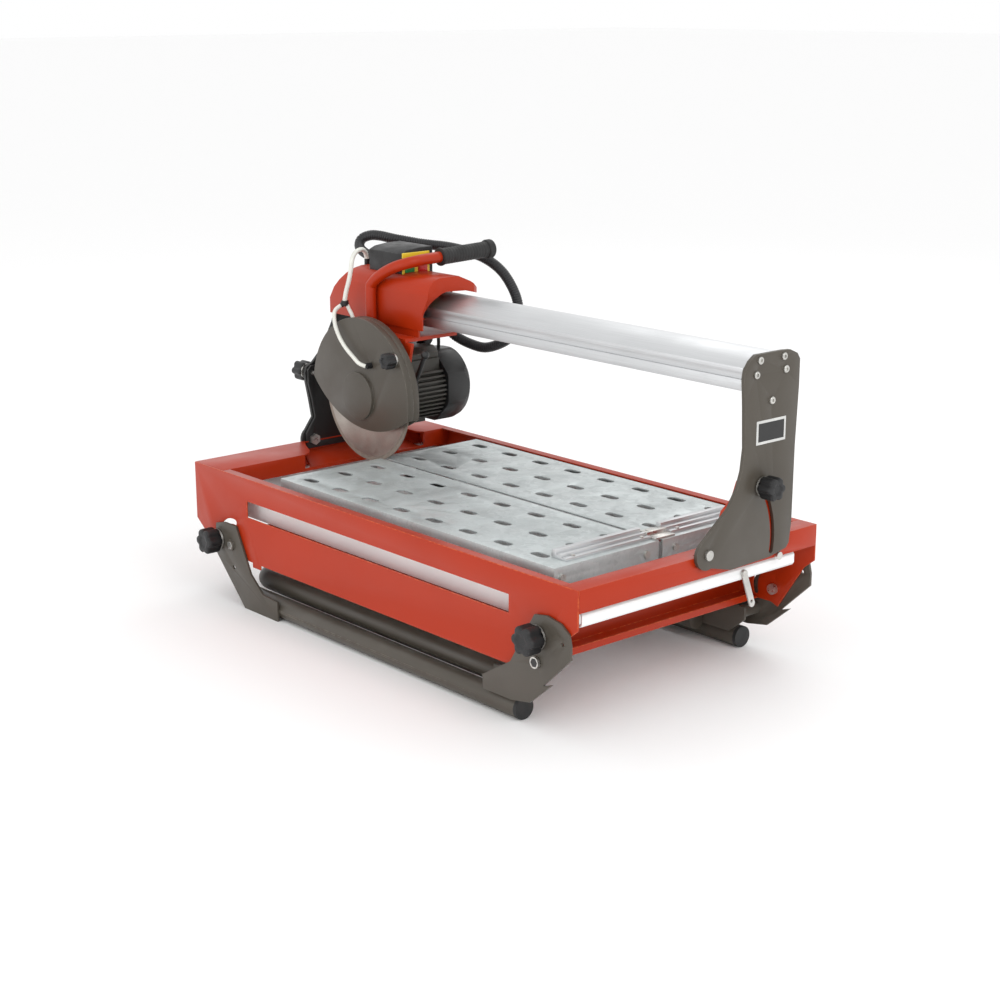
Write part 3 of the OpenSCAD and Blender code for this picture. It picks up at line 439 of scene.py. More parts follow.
def softened(node, radius, angle=34, segments=2):
    """A copy of a CAD node's mesh with its folds and rims rounded, and those marked for wear and painted
    highlight.
    """
    bm = bmesh.new()
    bm.from_mesh(NODES[node].data)
    bmesh.ops.remove_doubles(bm, verts=bm.verts, dist=2e-6)
    bmesh.ops.dissolve_limit(bm, angle_limit=math.radians(0.6), verts=bm.verts, edges=bm.edges)
    mesh = bpy.data.meshes.new(node + "_soft")
    bm.to_mesh(mesh)
    bm.free()
    obj = bpy.data.objects.new("softening", mesh)
    bpy.context.scene.collection.objects.link(obj)
    bevel = obj.modifiers.new("folds", "BEVEL")
    bevel.width, bevel.segments, bevel.limit_method = radius, segments, "ANGLE"
    bevel.angle_limit, bevel.use_clamp_overlap = math.radians(angle), True
    made = baked(obj)
    bm = bmesh.new()
    bm.from_mesh(made)
    rim = bm.faces.layers.float.new("rim")
    for face in bm.faces:
        longest = max(edge.calc_length() for edge in face.edges)
        face[rim] = 1.0 if face.calc_area() < radius * longest else 0.0
    bm.to_mesh(made)
    bm.free()
    return made


def wall_mesh(outline, depth, name="wall"):
    """A flat plate from an outline of (x, y) pairs, from z 0 to depth."""
    bm = bmesh.new()
    face = bm.faces.new([bm.verts.new((x, y, 0)) for x, y in outline])
    top = bmesh.ops.extrude_face_region(bm, geom=[face])
    raised = [v for v in top["geom"] if isinstance(v, bmesh.types.BMVert)]
    bmesh.ops.translate(bm, vec=(0, 0, depth), verts=raised)
    bmesh.ops.recalc_face_normals(bm, faces=bm.faces)
    mesh = bpy.data.meshes.new(name)
    bm.to_mesh(mesh)
    bm.free()
    return mesh


def rounded(mesh, radius, segments=3, angle=30):
    """A mesh with its sharp edges rounded."""
    obj = bpy.data.objects.new("rounding", mesh)
    bpy.context.scene.collection.objects.link(obj)
    bevel = obj.modifiers.new("round", "BEVEL")
    bevel.width, bevel.segments, bevel.limit_method = radius, segments, "ANGLE"
    bevel.angle_limit = math.radians(angle)
    return baked(obj)


def rounded_block(low, high, radius, segments=3):
    """A block between two corners with rounded edges."""
    size = high - low
    mesh = wall_mesh([(0, 0), (size.x, 0), (size.x, size.y), (0, size.y)], size.z, "block")
    mesh.transform(Matrix.Translation(low))
    return rounded(mesh, radius, segments)


def smooth_line(points, steps):
    """Points of a smooth curve through the given points, with some steps a span."""
    last, line = len(points) - 1, []
    for i in range(last):
        p, q, r, s = points[max(i - 1, 0)], points[i], points[i + 1], points[min(i + 2, last)]
        for k in range(steps):
            t = k / steps
            line.append((2 * q + (r - p) * t + (2 * p - 5 * q + 4 * r - s) * t * t
                         + (3 * q - p - 3 * r + s) * t * t * t) / 2)
    return line + [points[-1]]


def line_curve(points):
    """A poly curve through the points."""
    data = bpy.data.curves.new("line", "CURVE")
    data.dimensions = "3D"
    spline = data.splines.new("POLY")
    spline.points.add(len(points) - 1)
    for target, point in zip(spline.points, points):
        target.co = (*point, 1.0)
    return data


# ---------- geometry trees ----------


def ringed_tube_tree():
    """A tube along a line whose radius rises and falls in rings."""
    g, given, out = open_group("Ringed tube", "GeometryNodeTree",
        [("Geometry", "Geometry", None), ("Radius", "Float", 0.009), ("Pitch", "Float", 0.004),
         ("Depth", "Float", 0.001), ("Samples", "Int", 5), ("Sides", "Int", 14), ("Plateau", "Float", 2.0),
         ("Finish", "Material", None)], [("Geometry", "Geometry")])
    step = g.math("DIVIDE", given["Pitch"], given["Samples"])
    line = g.add("GeometryNodeResampleCurve", {"Curve": given["Geometry"], "Length": step}, mode="LENGTH")
    along = g.add("GeometryNodeSplineParameter").outputs["Length"]
    wave = g.math("COSINE", g.math("MULTIPLY", g.math("DIVIDE", along, given["Pitch"]), 2 * math.pi))
    flat = g.math("MINIMUM", g.math("MULTIPLY", g.math("ADD", wave, 1.0), given["Plateau"]), 1.0)
    sunk = g.math("MULTIPLY", g.math("SUBTRACT", 1.0, flat), given["Depth"])
    size = g.math("SUBTRACT", given["Radius"], sunk)
    ring = g.add("GeometryNodeCurvePrimitiveCircle", {"Resolution": given["Sides"], "Radius": 1.0})
    tube = g.add("GeometryNodeCurveToMesh", {"Curve": line.outputs[0], "Profile Curve": ring.outputs[0],
                                             "Scale": size, "Fill Caps": True})
    real = g.add("GeometryNodeRealizeInstances", {0: tube.outputs[0]})
    done = g.add("GeometryNodeSetMaterial", {"Geometry": real.outputs[0], "Material": given["Finish"]})
    g.plug(out["Geometry"], done.outputs[0])
    return g.tree


def lobed_knob_tree():
    """A knob head round +Z: lobes round its rim, softened top and bottom, and a sunk cap."""
    g, given, out = open_group("Lobed knob", "GeometryNodeTree",
        [("Geometry", "Geometry", None), ("Radius", "Float", 0.022), ("Height", "Float", 0.026),
         ("Lobes", "Int", 6), ("Lobe depth", "Float", 0.2), ("Dish", "Float", 0.002),
         ("Finish", "Material", None)],
        [("Geometry", "Geometry")])
    body = g.add("GeometryNodeMeshCylinder", {"Vertices": 84, "Side Segments": 10, "Fill Segments": 7,
                                              "Radius": 1.0, "Depth": 2.0})
    spot = g.add("GeometryNodeInputPosition").outputs[0]
    x, y, z = g.add("ShaderNodeSeparateXYZ", {0: spot}).outputs
    turn = g.math("ARCTAN2", y, x)
    wave = g.math("COSINE", g.math("MULTIPLY", turn, given["Lobes"]))
    valley = g.math("POWER", g.math("MULTIPLY", g.math("SUBTRACT", 1.0, wave), 0.5), 1.6)
    far = g.math("SQRT", g.math("ADD", g.math("MULTIPLY", x, x), g.math("MULTIPLY", y, y)))
    bite = g.math("MULTIPLY", g.math("MULTIPLY", valley, given["Lobe depth"]), far)
    edge = g.math("POWER", g.math("ABSOLUTE", z), 9.0)
    shrink = g.math("MULTIPLY", edge, 0.09)
    scale = g.math("MULTIPLY", g.math("SUBTRACT", g.math("SUBTRACT", 1.0, bite), shrink), given["Radius"])
    inside = g.math("MULTIPLY", g.math("LESS_THAN", far, 0.55), g.math("GREATER_THAN", z, 0.9))
    sink = g.math("MULTIPLY", inside, given["Dish"])
    fall = g.math("MULTIPLY", g.math("MULTIPLY", g.math("POWER", far, 6.0), edge),
                  g.math("MULTIPLY", z, -0.05))
    tall = g.math("MULTIPLY", g.math("MULTIPLY", g.math("ADD", g.math("ADD", z, fall), 1.0), 0.5),
                  given["Height"])
    moved = g.add("ShaderNodeCombineXYZ", {0: g.math("MULTIPLY", x, scale), 1: g.math("MULTIPLY", y, scale),
                                           2: g.math("SUBTRACT", tall, sink)})
    shaped = g.add("GeometryNodeSetPosition", {"Geometry": body.outputs[0], "Position": moved.outputs[0]})
    real = g.add("GeometryNodeRealizeInstances", {0: shaped.outputs[0]})
    done = g.add("GeometryNodeSetMaterial", {"Geometry": real.outputs[0], "Material": given["Finish"]})
    g.plug(out["Geometry"], done.outputs[0])
    return g.tree


def heads_tree():
    """Sets one head, such as a screw's, on every point of a mesh, facing a given way."""
    g, given, out = open_group("Heads on points", "GeometryNodeTree",
        [("Geometry", "Geometry", None), ("Head", "Object", None), ("Facing", "Vector", (0.0, 0.0, 1.0)),
         ("Size", "Float", 1.0), ("Spin", "Float", 1.0), ("Seed", "Int", 3), ("Finish", "Material", None)],
        [("Geometry", "Geometry")])
    head = g.add("GeometryNodeObjectInfo", {"Object": given["Head"]})
    facing = g.add("FunctionNodeAlignRotationToVector", {"Vector": given["Facing"]}, axis="Z")
    spin = g.add("FunctionNodeRandomValue", {2: 0.0, 3: given["Spin"], "Seed": given["Seed"]},
                 data_type="FLOAT")
    own = g.add("FunctionNodeAxisAngleToRotation", {0: (0.0, 0.0, 1.0), 1: spin.outputs[1]})
    both = g.add("FunctionNodeRotateRotation", {0: facing.outputs[0], 1: own.outputs[0]},
                 rotation_space="LOCAL")
    points = g.add("GeometryNodeMeshToPoints", {"Mesh": given["Geometry"]})
    size = g.add("ShaderNodeCombineXYZ", {0: given["Size"], 1: given["Size"], 2: given["Size"]})
    set_on = g.add("GeometryNodeInstanceOnPoints",
                   {"Points": points.outputs[0], "Instance": head.outputs["Geometry"],
                    "Rotation": both.outputs[0], "Scale": size.outputs[0]})
    real = g.add("GeometryNodeRealizeInstances", {0: set_on.outputs[0]})
    done = g.add("GeometryNodeSetMaterial", {"Geometry": real.outputs[0], "Material": given["Finish"]})
    g.plug(out["Geometry"], done.outputs[0])
    return g.tree


def blade_tree():
    """A saw blade round +Z: a thin core with a bore, and a thicker unbroken rim in segments."""
    g, given, out = open_group("Segmented blade", "GeometryNodeTree",
        [("Geometry", "Geometry", None), ("Radius", "Float", 0.115), ("Bore", "Float", 0.0127),
         ("Segments", "Int", 22), ("Rim", "Float", 0.007), ("Core", "Float", 0.0018),
         ("Thick", "Float", 0.0024), ("Steel", "Material", None), ("Diamond", "Material", None)],
        [("Geometry", "Geometry")])

    def ring(inner, outer, thick, count, share):
        """Sectors of a flat ring: a grid bent round the axis, share of each sector filled."""
        grid = g.add("GeometryNodeMeshGrid", {"Size X": 1.0, "Size Y": 1.0, "Vertices X": 9, "Vertices Y": 2})
        spot = g.add("GeometryNodeInputPosition").outputs[0]
        x, y, _ = g.add("ShaderNodeSeparateXYZ", {0: spot}).outputs
        turn = g.math("MULTIPLY", x, g.math("DIVIDE", 2 * math.pi * share, count))
        far = g.add("ShaderNodeMapRange", {0: y, 1: -0.5, 2: 0.5, 3: inner, 4: outer}).outputs[0]
        bent = g.add("ShaderNodeCombineXYZ", {0: g.math("MULTIPLY", g.math("COSINE", turn), far),
                                              1: g.math("MULTIPLY", g.math("SINE", turn), far)})
        flat = g.add("GeometryNodeSetPosition", {"Geometry": grid.outputs[0], "Position": bent.outputs[0]})
        solid = g.add("GeometryNodeExtrudeMesh", {"Mesh": flat.outputs[0], "Offset": (0.0, 0.0, 1.0),
                                                  "Offset Scale": thick, "Individual": False})
        back = g.add("GeometryNodeFlipFaces", {"Mesh": flat.outputs[0]})
        shut = g.add("GeometryNodeJoinGeometry")
        g.tree.links.new(solid.outputs[0], shut.inputs[0])
        g.tree.links.new(back.outputs[0], shut.inputs[0])
        sector = g.add("GeometryNodeMergeByDistance", {"Geometry": shut.outputs[0], "Distance": 1e-6})
        centred = g.add("ShaderNodeCombineXYZ", {2: g.math("MULTIPLY", thick, -0.5)})
        seated = g.add("GeometryNodeTransform",
                       {"Geometry": sector.outputs[0], "Translation": centred.outputs[0]})
        line = g.add("GeometryNodeMeshLine", {"Count": count, "Offset": (0.0, 0.0, 0.0)})
        index = g.add("GeometryNodeInputIndex").outputs[0]
        angle = g.math("MULTIPLY", index, g.math("DIVIDE", 2 * math.pi, count))
        turned = g.add("ShaderNodeCombineXYZ", {2: angle})
        rotation = g.add("FunctionNodeEulerToRotation", {0: turned.outputs[0]})
        around = g.add("GeometryNodeInstanceOnPoints",
                       {"Points": line.outputs[0], "Instance": seated.outputs[0],
                        "Rotation": rotation.outputs[0]})
        return g.add("GeometryNodeRealizeInstances", {0: around.outputs[0]}).outputs[0]

    shoulder = g.math("SUBTRACT", given["Radius"], given["Rim"])
    deep = g.math("SUBTRACT", shoulder, 0.006)
    hub = g.add("GeometryNodeMergeByDistance",
                {"Geometry": ring(given["Bore"], deep, given["Core"], given["Segments"], 1.0),
                 "Distance": 1e-6})
    teeth = ring(g.math("SUBTRACT", deep, 0.0004), shoulder, given["Core"], given["Segments"], 1.0)
    rim = ring(g.math("SUBTRACT", shoulder, 0.0002), given["Radius"], given["Thick"], given["Segments"], 1.0)
    joined = g.add("GeometryNodeJoinGeometry")
    for part, kind in ((hub.outputs[0], "Steel"), (teeth, "Steel"), (rim, "Diamond")):
        painted = g.add("GeometryNodeSetMaterial", {"Geometry": part, "Material": given[kind]})
        g.tree.links.new(painted.outputs[0], joined.inputs[0])
    g.plug(out["Geometry"], joined.outputs[0])
    return g.tree


# ---------- operators ----------


class SAW_OT_stage(bpy.types.Operator):
    """Makes the floor, the surroundings, the lights and the camera"""

    bl_idname = "saw.stage"
    bl_label = "Stage"

    def execute(self, context):
        scene, s = context.scene, context.scene.saw_stage
        scene.view_settings.view_transform = "Standard"
        camera = bpy.data.objects.new("Camera", bpy.data.cameras.new("Camera"))
        scene.collection.objects.link(camera)
        camera.data.lens, camera.data.sensor_width = s.lens, 36.0
        camera.data.clip_start, camera.data.clip_end = 0.05, 120.0
        turn, tip, roll = (math.radians(a) for a in (CAMERA_TURN, CAMERA_TIP, CAMERA_ROLL))
        back = Vector((math.sin(turn) * math.cos(tip), -math.cos(turn) * math.cos(tip), math.sin(tip)))
        camera.location = CAMERA_AT
        aim = (-back).to_track_quat("-Z", "Y").to_matrix().to_4x4() @ Matrix.Rotation(-roll, 4, "Z")
        camera.rotation_euler = aim.to_euler()
        scene.camera = camera

        far = FLOOR_HALF
        floor = wall_mesh([(-far, -far), (far, -far), (far, far), (-far, far)], FLOOR_THICK, "floor")
        floor.transform(Matrix.Translation((0, 0, -FLOOR_THICK)))
        stand = bpy.data.objects.new("Floor", floor)
        scene.collection.objects.link(stand)
        paper = bpy.data.materials.new("Floor paper")
        paper.use_nodes = True
        shader = paper.node_tree.nodes["Principled BSDF"]
        shader.inputs["Base Color"].default_value = rgba(s.floor)
        shader.inputs["Roughness"].default_value = 0.9
        floor.materials.append(paper)

        world = bpy.data.worlds.new("Surroundings")
        scene.world = world
        world.use_nodes = True
        world.node_tree.nodes["Background"].inputs["Color"].default_value = (1.0, 1.0, 1.0, 1.0)
        world.node_tree.nodes["Background"].inputs["Strength"].default_value = s.sky
        lights = (("Key", s.key, (3.2, -0.4, 2.6), 1.8), ("Fill", s.fill, (0.1, -3.4, 0.9), 1.6),
                  ("Back", s.fill, (-1.2, 2.6, 2.8), 1.8))
        for name, power, spot, size in lights:
            lamp = bpy.data.lights.new(name, "AREA")
            lamp.energy, lamp.size = power, size
            light = bpy.data.objects.new(name, lamp)
            scene.collection.objects.link(light)
            light.location = spot
            light.rotation_euler = (Vector((0, 0, 0.3)) - Vector(spot)).to_track_quat("-Z", "Y").to_euler()
        return {"FINISHED"}


CONDUIT_ROUTE = [
    (-388, 104, 324), (-410, 104, 324), (-445, 105, 326), (-470, 110, 335), (-477, 120, 347),
    (-465, 130, 354), (-449, 140, 354), (-428, 152, 350), (-410, 168, 346), (-395, 185, 342),
    (-380, 202, 339), (-358, 216, 337), (-333, 229, 333), (-304, 239, 327), (-279, 247, 318),
    (-256, 255, 303), (-238, 260, 283), (-222, 262, 258), (-213, 260, 233), (-209, 254, 212),
    (-216, 245, 192), (-236, 235, 177), (-264, 225, 168), (-292, 216, 172), (-315, 205, 182),
    (-325, 193, 195), (-330, 178, 203), (-332, 162, 205), (-330, 148, 201), (-322, 142, 188)]
LEAD_ROUTE = [
    (-300, 120, 203), (-300, 122, 200), (-303, 140, 197), (-307, 154, 191), (-311, 159, 180),
    (-312, 159, 169)]
HOSE_ROUTE = [
    (-382, 10, 260), (-379, 11, 275), (-375, 15, 296), (-375, 19, 312), (-380, 26, 329),
    (-388, 38, 338), (-398, 54, 341), (-410, 72, 339), (-418, 84, 331), (-420, 88, 321)]
HOSE_LEFT_ROUTE = [
    (-385, 4, 252), (-384, -7, 247), (-379, -15, 241), (-371, -21, 231), (-363, -24, 219),
    (-349, -26, 203), (-330, -28, 189), (-307, -30, 177), (-290, -31, 169), (-278, -26, 165)]
HOSE_RIGHT_ROUTE = [
    (-379, 13, 252), (-375, 14, 245), (-368, 14.5, 236), (-363, 14.5, 226), (-360, 14.5, 214),
    (-358, 14.5, 203), (-356, 14.5, 195)]


class SAW_OT_cords(bpy.types.Operator):
    """Makes the corrugated motor conduit, the motor's thin lead and the water hoses"""

    bl_idname = "saw.cords"
    bl_label = "Conduit and hoses"

    def execute(self, context):
        looks, s = finishes(), context.scene.saw_sizes
        tree = ringed_tube_tree()
        rows = (
            ("conduit_tube", CONDUIT_ROUTE, 18.0, s.conduit_pitch, s.conduit_depth, 6, 20, "conduit",
             "medium", ["motor_conduit"]),
            ("motor_lead", LEAD_ROUTE, 6.0, 0.05, 0.0, 20, 12, "rubber", "medium", []),
            ("hose_to_cover", HOSE_ROUTE, 8.0, s.hose_pitch, 0.0004, 4, 14, "hose", "medium",
             ["water_hoses"]),
            ("hose_to_guard_front", HOSE_LEFT_ROUTE, 7.0, s.hose_pitch, 0.0004, 4, 14, "hose", "medium", []),
            ("hose_to_guard_back", HOSE_RIGHT_ROUTE, 7.0, s.hose_pitch, 0.0004, 4, 14, "hose", "medium", []),
        )
        for name, route, size, pitch, depth, samples, sides, look, stiff, nodes in rows:
            line = smooth_line([place(*p) for p in route], 5)
            mesh = grown(tree, line_curve(line), Radius=size / 2000, Pitch=pitch, Depth=depth,
                         Samples=samples, Sides=sides, Finish=looks[look])
            slot = "hose_plastic" if look == "hose" else "black_plastic"
            obj = new_piece(name, mesh, "head", stands_for=nodes, slot=slot, soft_angle=60)
        return {"FINISHED"}


class SAW_OT_finishes(bpy.types.Operator):
    """Gives every CAD node its finish"""

    bl_idname = "saw.finishes"
    bl_label = "Finishes"

    def execute(self, context):
        looks = finishes()
        own = {"fence_strips": "drawn", "bevel_knob_left": "moulded"}
        for name, node in NODES.items():
            material = looks[own.get(name, FINISH_OF_SLOT[SLOT_OF_NODE[name]])]
            node.data.materials.clear()
            node.data.materials.append(material)
        return {"FINISHED"}


class SAW_OT_sheet_metal(bpy.types.Operator):
    """Rounds the folds and rims of sheet, plates and castings"""

    bl_idname = "saw.sheet_metal"
    bl_label = "Sheet metal and castings"

    def execute(self, context):
        looks, fold = finishes(), context.scene.saw_sizes.fold
        rows = {
            "side_panel_near": fold, "side_panel_far": fold, "end_beam_left": fold,
            "end_beam_right": fold, "lower_cross_rails": fold, "bevel_bracket_left": fold,
            "bevel_bracket_right": fold, "table_near": fold * 0.7, "table_far": fold * 0.7,
            "water_tray": fold * 0.8, "post_left": fold, "post_right": fold, "carriage_frame": fold,
            "carriage_cover": 0.0013, "blade_guard_front": 0.0010, "blade_guard_back": 0.0010,
            "leg_left": fold, "leg_right": fold, "fan_cowl": 0.0014, "terminal_box": 0.0015,
            "switch_box": 0.0018, "switch_bezel": 0.0009, "guide_rail": 0.0008, "tray_pull": 0.0006,
            "fence_pointer": 0.0005, "fence_strips": 0.0004, "motor_housing": 0.0007,
        }
        for node, radius in rows.items():
            look = "drawn" if node == "fence_strips" else FINISH_OF_SLOT[SLOT_OF_NODE[node]]
            body = NODES[node]["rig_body"]
            new_piece(node + "_rounded", softened(node, radius), body, looks[look], [node])
        return {"FINISHED"}


class SAW_OT_knobs(bpy.types.Operator):
    """Makes the lobed locking knobs"""

    bl_idname = "saw.knobs"
    bl_label = "Knobs"

    def execute(self, context):
        looks, s = finishes(), context.scene.saw_sizes
        tree = lobed_knob_tree()
        rows = (
            ("bevel_knob_left", (-486.3, 1, 122), (-1, 0, 0), 18.0, 26.0),
            ("bevel_knob_right", (486.3, 110, 84), (1, 0, 0), 18.0, 26.0),
            ("leg_knob_left_near", (-403, -254.6, -120), (0, -1, 0), 22.0, 27.0),
            ("leg_knob_left_far", (-403, 254.6, -120), (0, 1, 0), 22.0, 27.0),
            ("leg_knob_right_near", (400, -255, -83), (0, -1, 0), 22.0, 27.0),
            ("leg_knob_right_far", (400, 255, -83), (0, 1, 0), 22.0, 27.0),
            ("guard_knob", (-215, -18, 183), (0, -1, 0), 14.0, 19.0),
        )
        for node, foot, facing, radius, height in rows:
            turn = Vector(facing).to_track_quat("Z", "Y").to_matrix().to_4x4()
            matrix = Matrix.Translation(place(*foot)) @ turn
            mesh = grown(tree, matrix=matrix, Radius=radius / 1000, Height=height / 1000, Lobes=s.lobes,
                         Dish=0.0016, Finish=looks["moulded"])
            mesh.materials.clear()
            bm = bmesh.new()
            bm.from_mesh(mesh)
            stud = {"g": (4.0, 10), "b": (4.0, 24), "l": (4.0, 19)}[node[0]]
            collar = bmesh.ops.create_cone(bm, cap_ends=True, segments=28, radius1=radius * 0.00082,
                                           radius2=radius * 0.00080, depth=0.003)["verts"]
            bmesh.ops.transform(bm, verts=collar, matrix=matrix @ Matrix.Translation((0, 0, -0.0015)))
            pin = bmesh.ops.create_cone(bm, cap_ends=True, segments=24, radius1=stud[0] / 1000,
                                        radius2=stud[0] / 1000, depth=stud[1] / 1000)["verts"]
            bmesh.ops.transform(bm, verts=pin, matrix=matrix @ Matrix.Translation((0, 0, -stud[1] / 2000)))
            bm.to_mesh(mesh)
            bm.free()
            mesh.materials.append(looks["moulded"])
            mesh.materials.append(looks["plated"])
            mesh.polygons.foreach_set("material_index", [
                1 if (matrix.inverted() @ p.center).z < -1e-5 else 0 for p in mesh.polygons])
            obj = new_piece(node + "_lobed", mesh, NODES[node]["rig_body"], stands_for=[node], soft_angle=40)
            obj.data.update()
        return {"FINISHED"}


class SAW_OT_blade(bpy.types.Operator):
    """Makes the segmented saw blade"""

    bl_idname = "saw.blade"
    bl_label = "Saw blade"

    def execute(self, context):
        looks, s = finishes(), context.scene.saw_sizes
        matrix = Matrix.Translation(place(-312, 0, 108)) @ Matrix.Rotation(math.radians(90), 4, "X")
        mesh = grown(blade_tree(), matrix=matrix, Segments=s.segments, Steel=looks["blade"],
                     Diamond=looks["diamond"])
        new_piece("blade_segmented", mesh, "spindle", stands_for=["saw_blade"])
        return {"FINISHED"}


class SAW_OT_handle(bpy.types.Operator):
    """Makes the ribbed grip and the smooth bent handle tube"""

    bl_idname = "saw.handle"
    bl_label = "Handle"

    def execute(self, context):
        looks, s = finishes(), context.scene.saw_sizes
        tree = ringed_tube_tree()
        ends = [place(-260, 121.5, 337.17), place(-260, 236.5, 341.5)]
        grip = grown(tree, line_curve(ends), Radius=GRIP_R, Pitch=s.grip_pitch, Depth=0.0004, Samples=7,
                     Sides=32, Plateau=1.2, Finish=looks["rubber"])
        flange = grown(tree, line_curve([place(-260, 121, 337.15), place(-260, 126, 337.34)]),
                       Radius=GRIP_FLANGE_R, Pitch=0.02, Depth=0.0, Samples=8, Sides=32,
                       Finish=looks["rubber"])
        cap = grown(tree, line_curve([place(-260, 223, 341), place(-260, 237, 341.54)]), Radius=GRIP_CAP_R,
                    Pitch=0.02, Depth=0.0, Samples=8, Sides=32, Finish=looks["rubber"])
        bm = bmesh.new()
        for mesh in (grip, rounded(flange, 0.0012), rounded(cap, 0.003)):
            bm.from_mesh(mesh)
        whole = bpy.data.meshes.new("grip")
        bm.to_mesh(whole)
        bm.free()
        new_piece("grip_ribbed", whole, "head", looks["rubber"], ["handle_grip"], soft_angle=50)

        route = [(-338, 33, 212), (-338, 33, 280), (-334, 34, 293), (-316, 37, 308), (-291, 43, 322),
                 (-272, 53, 330), (-262, 68, 334), (-260, 88, 336), (-260, 117, 337), (-260, 236, 341.5)]
        line = smooth_line([place(*p) for p in route], 8)
        tube = grown(tree, line_curve(line), Radius=TUBE_R, Pitch=0.04, Depth=0.0, Samples=14, Sides=36,
                     Finish=looks["powder coat"])
        new_piece("handle_bent", tube, "head", looks["powder coat"], ["handle_tube"], soft_angle=50)
        return {"FINISHED"}


class SAW_OT_switch(bpy.types.Operator):
    """Makes the switch's two rocker buttons"""

    bl_idname = "saw.switch"
    bl_label = "Switch"

    def execute(self, context):
        looks = finishes()
        for node, look in (("start_button", "green"), ("stop_button", "red")):
            low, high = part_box(node)
            mesh = rounded_block(low, high, 0.0016)
            new_piece(node + "_cap", mesh, node, looks[look], [node])
        return {"FINISHED"}


class SAW_OT_fasteners(bpy.types.Operator):
    """Sets socket screws and hexagon bolts where plates are joined"""

    bl_idname = "saw.fasteners"
    bl_label = "Fasteners"

    def head(self, sides, radius, height, socket):
        """A screw head on z 0 with a socket of the given radius, as a hidden object."""
        bm = bmesh.new()
        rings = [(radius, 0.0), (radius, height * 0.72), (radius * 0.86, height), (socket, height),
                 (socket * 0.94, height * 0.35)]
        loops = []
        for k, (r, z) in enumerate(rings):
            count = 24
            loop = []
            for i in range(count):
                turn = 2 * math.pi * i / count
                far = r
                if sides and k < 3 or k >= 3:
                    n = sides if k < 3 else 6
                    local = (turn % (2 * math.pi / n)) - math.pi / n
                    far = r * math.cos(math.pi / n) / math.cos(local)
                loop.append(bm.verts.new((far * math.cos(turn), far * math.sin(turn), z)))
            loops.append(loop)
        for a, b in zip(loops, loops[1:]):
            for i in range(len(a)):
                j = (i + 1) % len(a)
                bm.faces.new((a[i], a[j], b[j], b[i]))
        bm.faces.new(loops[-1])
        bm.faces.new(loops[0][::-1])
        bmesh.ops.recalc_face_normals(bm, faces=bm.faces)
        mesh = bpy.data.meshes.new("head")
        bm.to_mesh(mesh)
        bm.free()
        return bpy.data.objects.new("head", mesh)

    def execute(self, context):
        looks, s = finishes(), context.scene.saw_sizes
        tree = heads_tree()
        pan = self.head(0, s.screw, 0.003, 0.0024)
        big = self.head(6, 0.0078, 0.0046, 0.0001)
        painted = ("leg_bolts_near", "leg_bolts_far")
        rail = [(97, 269), (148, 269), (90, 249), (153, 250), (125, 208)]
        rows = (
            ("right_post_screws", "gantry", pan, (1, 0, 0), [(POST_FACE, y, z) for y, z in rail],
             ["post_screws"]),
            ("left_post_screws", "gantry", pan, (-1, 0, 0), [(-POST_FACE, y, z) for y, z in rail], []),
            ("right_pivot_bolt", "frame", big, (1, 0, 0), [(PIVOT_FACE, 0, 2)], []),
            ("left_pivot_bolt", "frame", big, (-1, 0, 0), [(-PIVOT_FACE, 0, 2)], []),
            ("leg_bolts_near", "frame", big, (0, -1, 0), [(398, -251.6, -120)], []),
            ("leg_bolts_far", "frame", big, (0, 1, 0), [(398, 251.6, -120)], []),
            ("left_leg_bolts_near", "leg_left", big, (0, -1, 0), [(-363, -250.6, -122.6)], []),
            ("left_leg_bolts_far", "leg_left", big, (0, 1, 0), [(-363, 250.6, -122.6)], []),
            ("apron_screws", "frame", pan, (1, 0, 0), [(389, y, -12) for y in (-196, -30, 30, 196)], []),
        )
        for name, body, head, facing, spots, nodes in rows:
            points = bpy.data.meshes.new("points")
            points.from_pydata([place(*p) for p in spots], [], [])
            look, slot = ("black", "black_paint") if name in painted else ("plated", "steel")
            mesh = grown(tree, points, Head=head, Facing=facing, Spin=6.0, Finish=looks[look])
            new_piece(name, mesh, body, stands_for=nodes, slot=slot, soft_angle=30)
        for head in (pan, big):
            bpy.data.objects.remove(head)
        return {"FINISHED"}


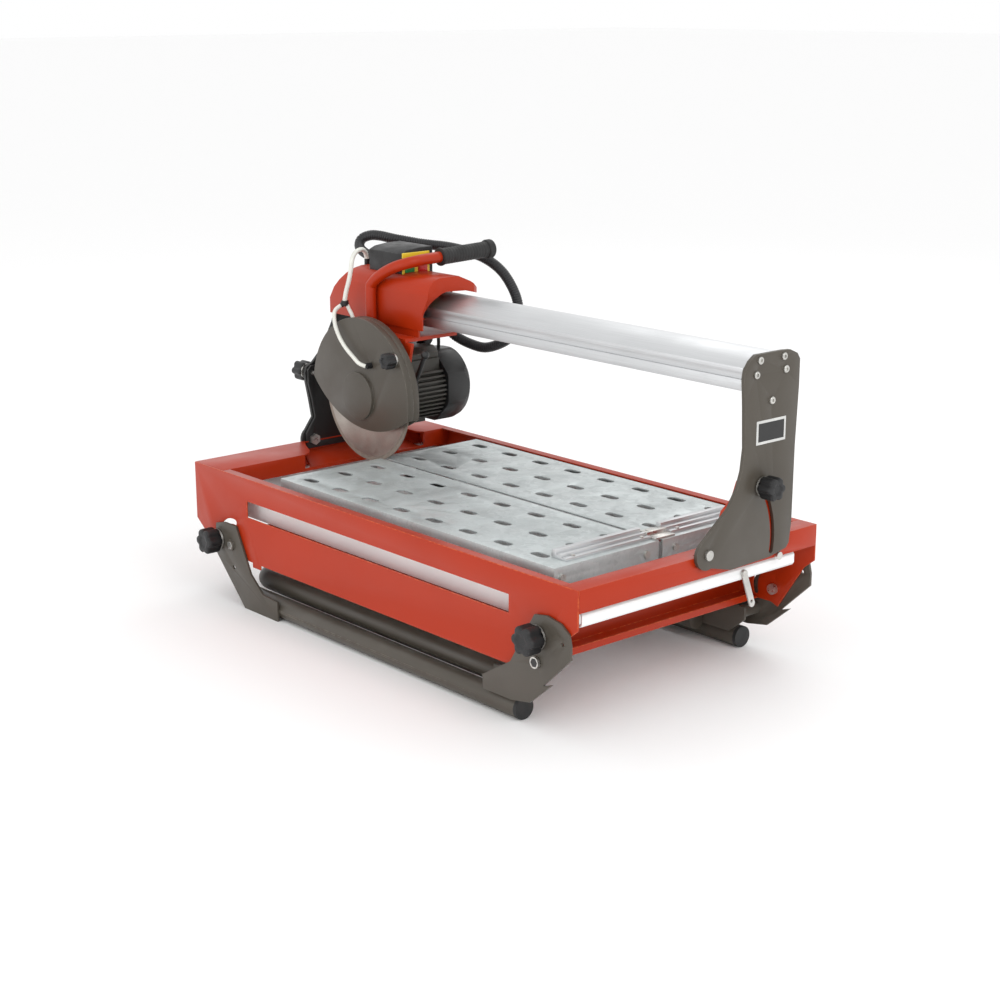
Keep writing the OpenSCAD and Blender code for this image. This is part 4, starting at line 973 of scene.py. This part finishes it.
class SAW_OT_rating_plate(bpy.types.Operator):
    """Sets a blank rating plate with a dark field on the right post"""

    bl_idname = "saw.rating_plate"
    bl_label = "Rating plate"

    def execute(self, context):
        looks = finishes()
        low, high = place(POST_FACE, 94, 146), place(PLATE_FACE, 157, 181)
        plate = rounded_block(low, high, 0.0003, 2)
        new_piece("rating_plate", plate, "gantry", looks["plate"], slot="rail_aluminium")
        field = rounded_block(place(PLATE_FACE, 98, 150), place(482.25, 153, 177), 0.0001, 1)
        new_piece("rating_plate_field", field, "gantry", looks["black"], slot="black_paint")
        return {"FINISHED"}


class SAW_PT_panel(bpy.types.Panel):
    """Lists the saw's operators and settings"""

    bl_idname = "SAW_PT_panel"
    bl_label = "Wet tile saw"
    bl_space_type = "VIEW_3D"
    bl_region_type = "UI"
    bl_category = "Tile saw"

    def draw(self, context):
        for group in ("saw_stage", "saw_colours", "saw_sizes"):
            box = self.layout.box()
            settings = getattr(context.scene, group)
            for name in settings.bl_rna.properties.keys():
                if name not in ("rna_type", "name"):
                    box.prop(settings, name)
        for step in STEPS:
            self.layout.operator(step.bl_idname)


STEPS = (SAW_OT_stage, SAW_OT_cords, SAW_OT_finishes, SAW_OT_sheet_metal, SAW_OT_knobs, SAW_OT_blade,
         SAW_OT_handle, SAW_OT_switch, SAW_OT_fasteners, SAW_OT_rating_plate)
CLASSES = (SawStage, SawColours, SawSizes, *STEPS, SAW_PT_panel)


def register():
    for cls in CLASSES:
        bpy.utils.register_class(cls)
    bpy.types.Scene.saw_stage = PointerProperty(type=SawStage)
    bpy.types.Scene.saw_colours = PointerProperty(type=SawColours)
    bpy.types.Scene.saw_sizes = PointerProperty(type=SawSizes)


def unregister():
    for name in ("saw_stage", "saw_colours", "saw_sizes"):
        delattr(bpy.types.Scene, name)
    for cls in reversed(CLASSES):
        bpy.utils.unregister_class(cls)


def main():
    register()
    for step in STEPS:
        group, name = step.bl_idname.split(".")
        getattr(getattr(bpy.ops, group), name)()


if __name__ == "__main__":
    main()
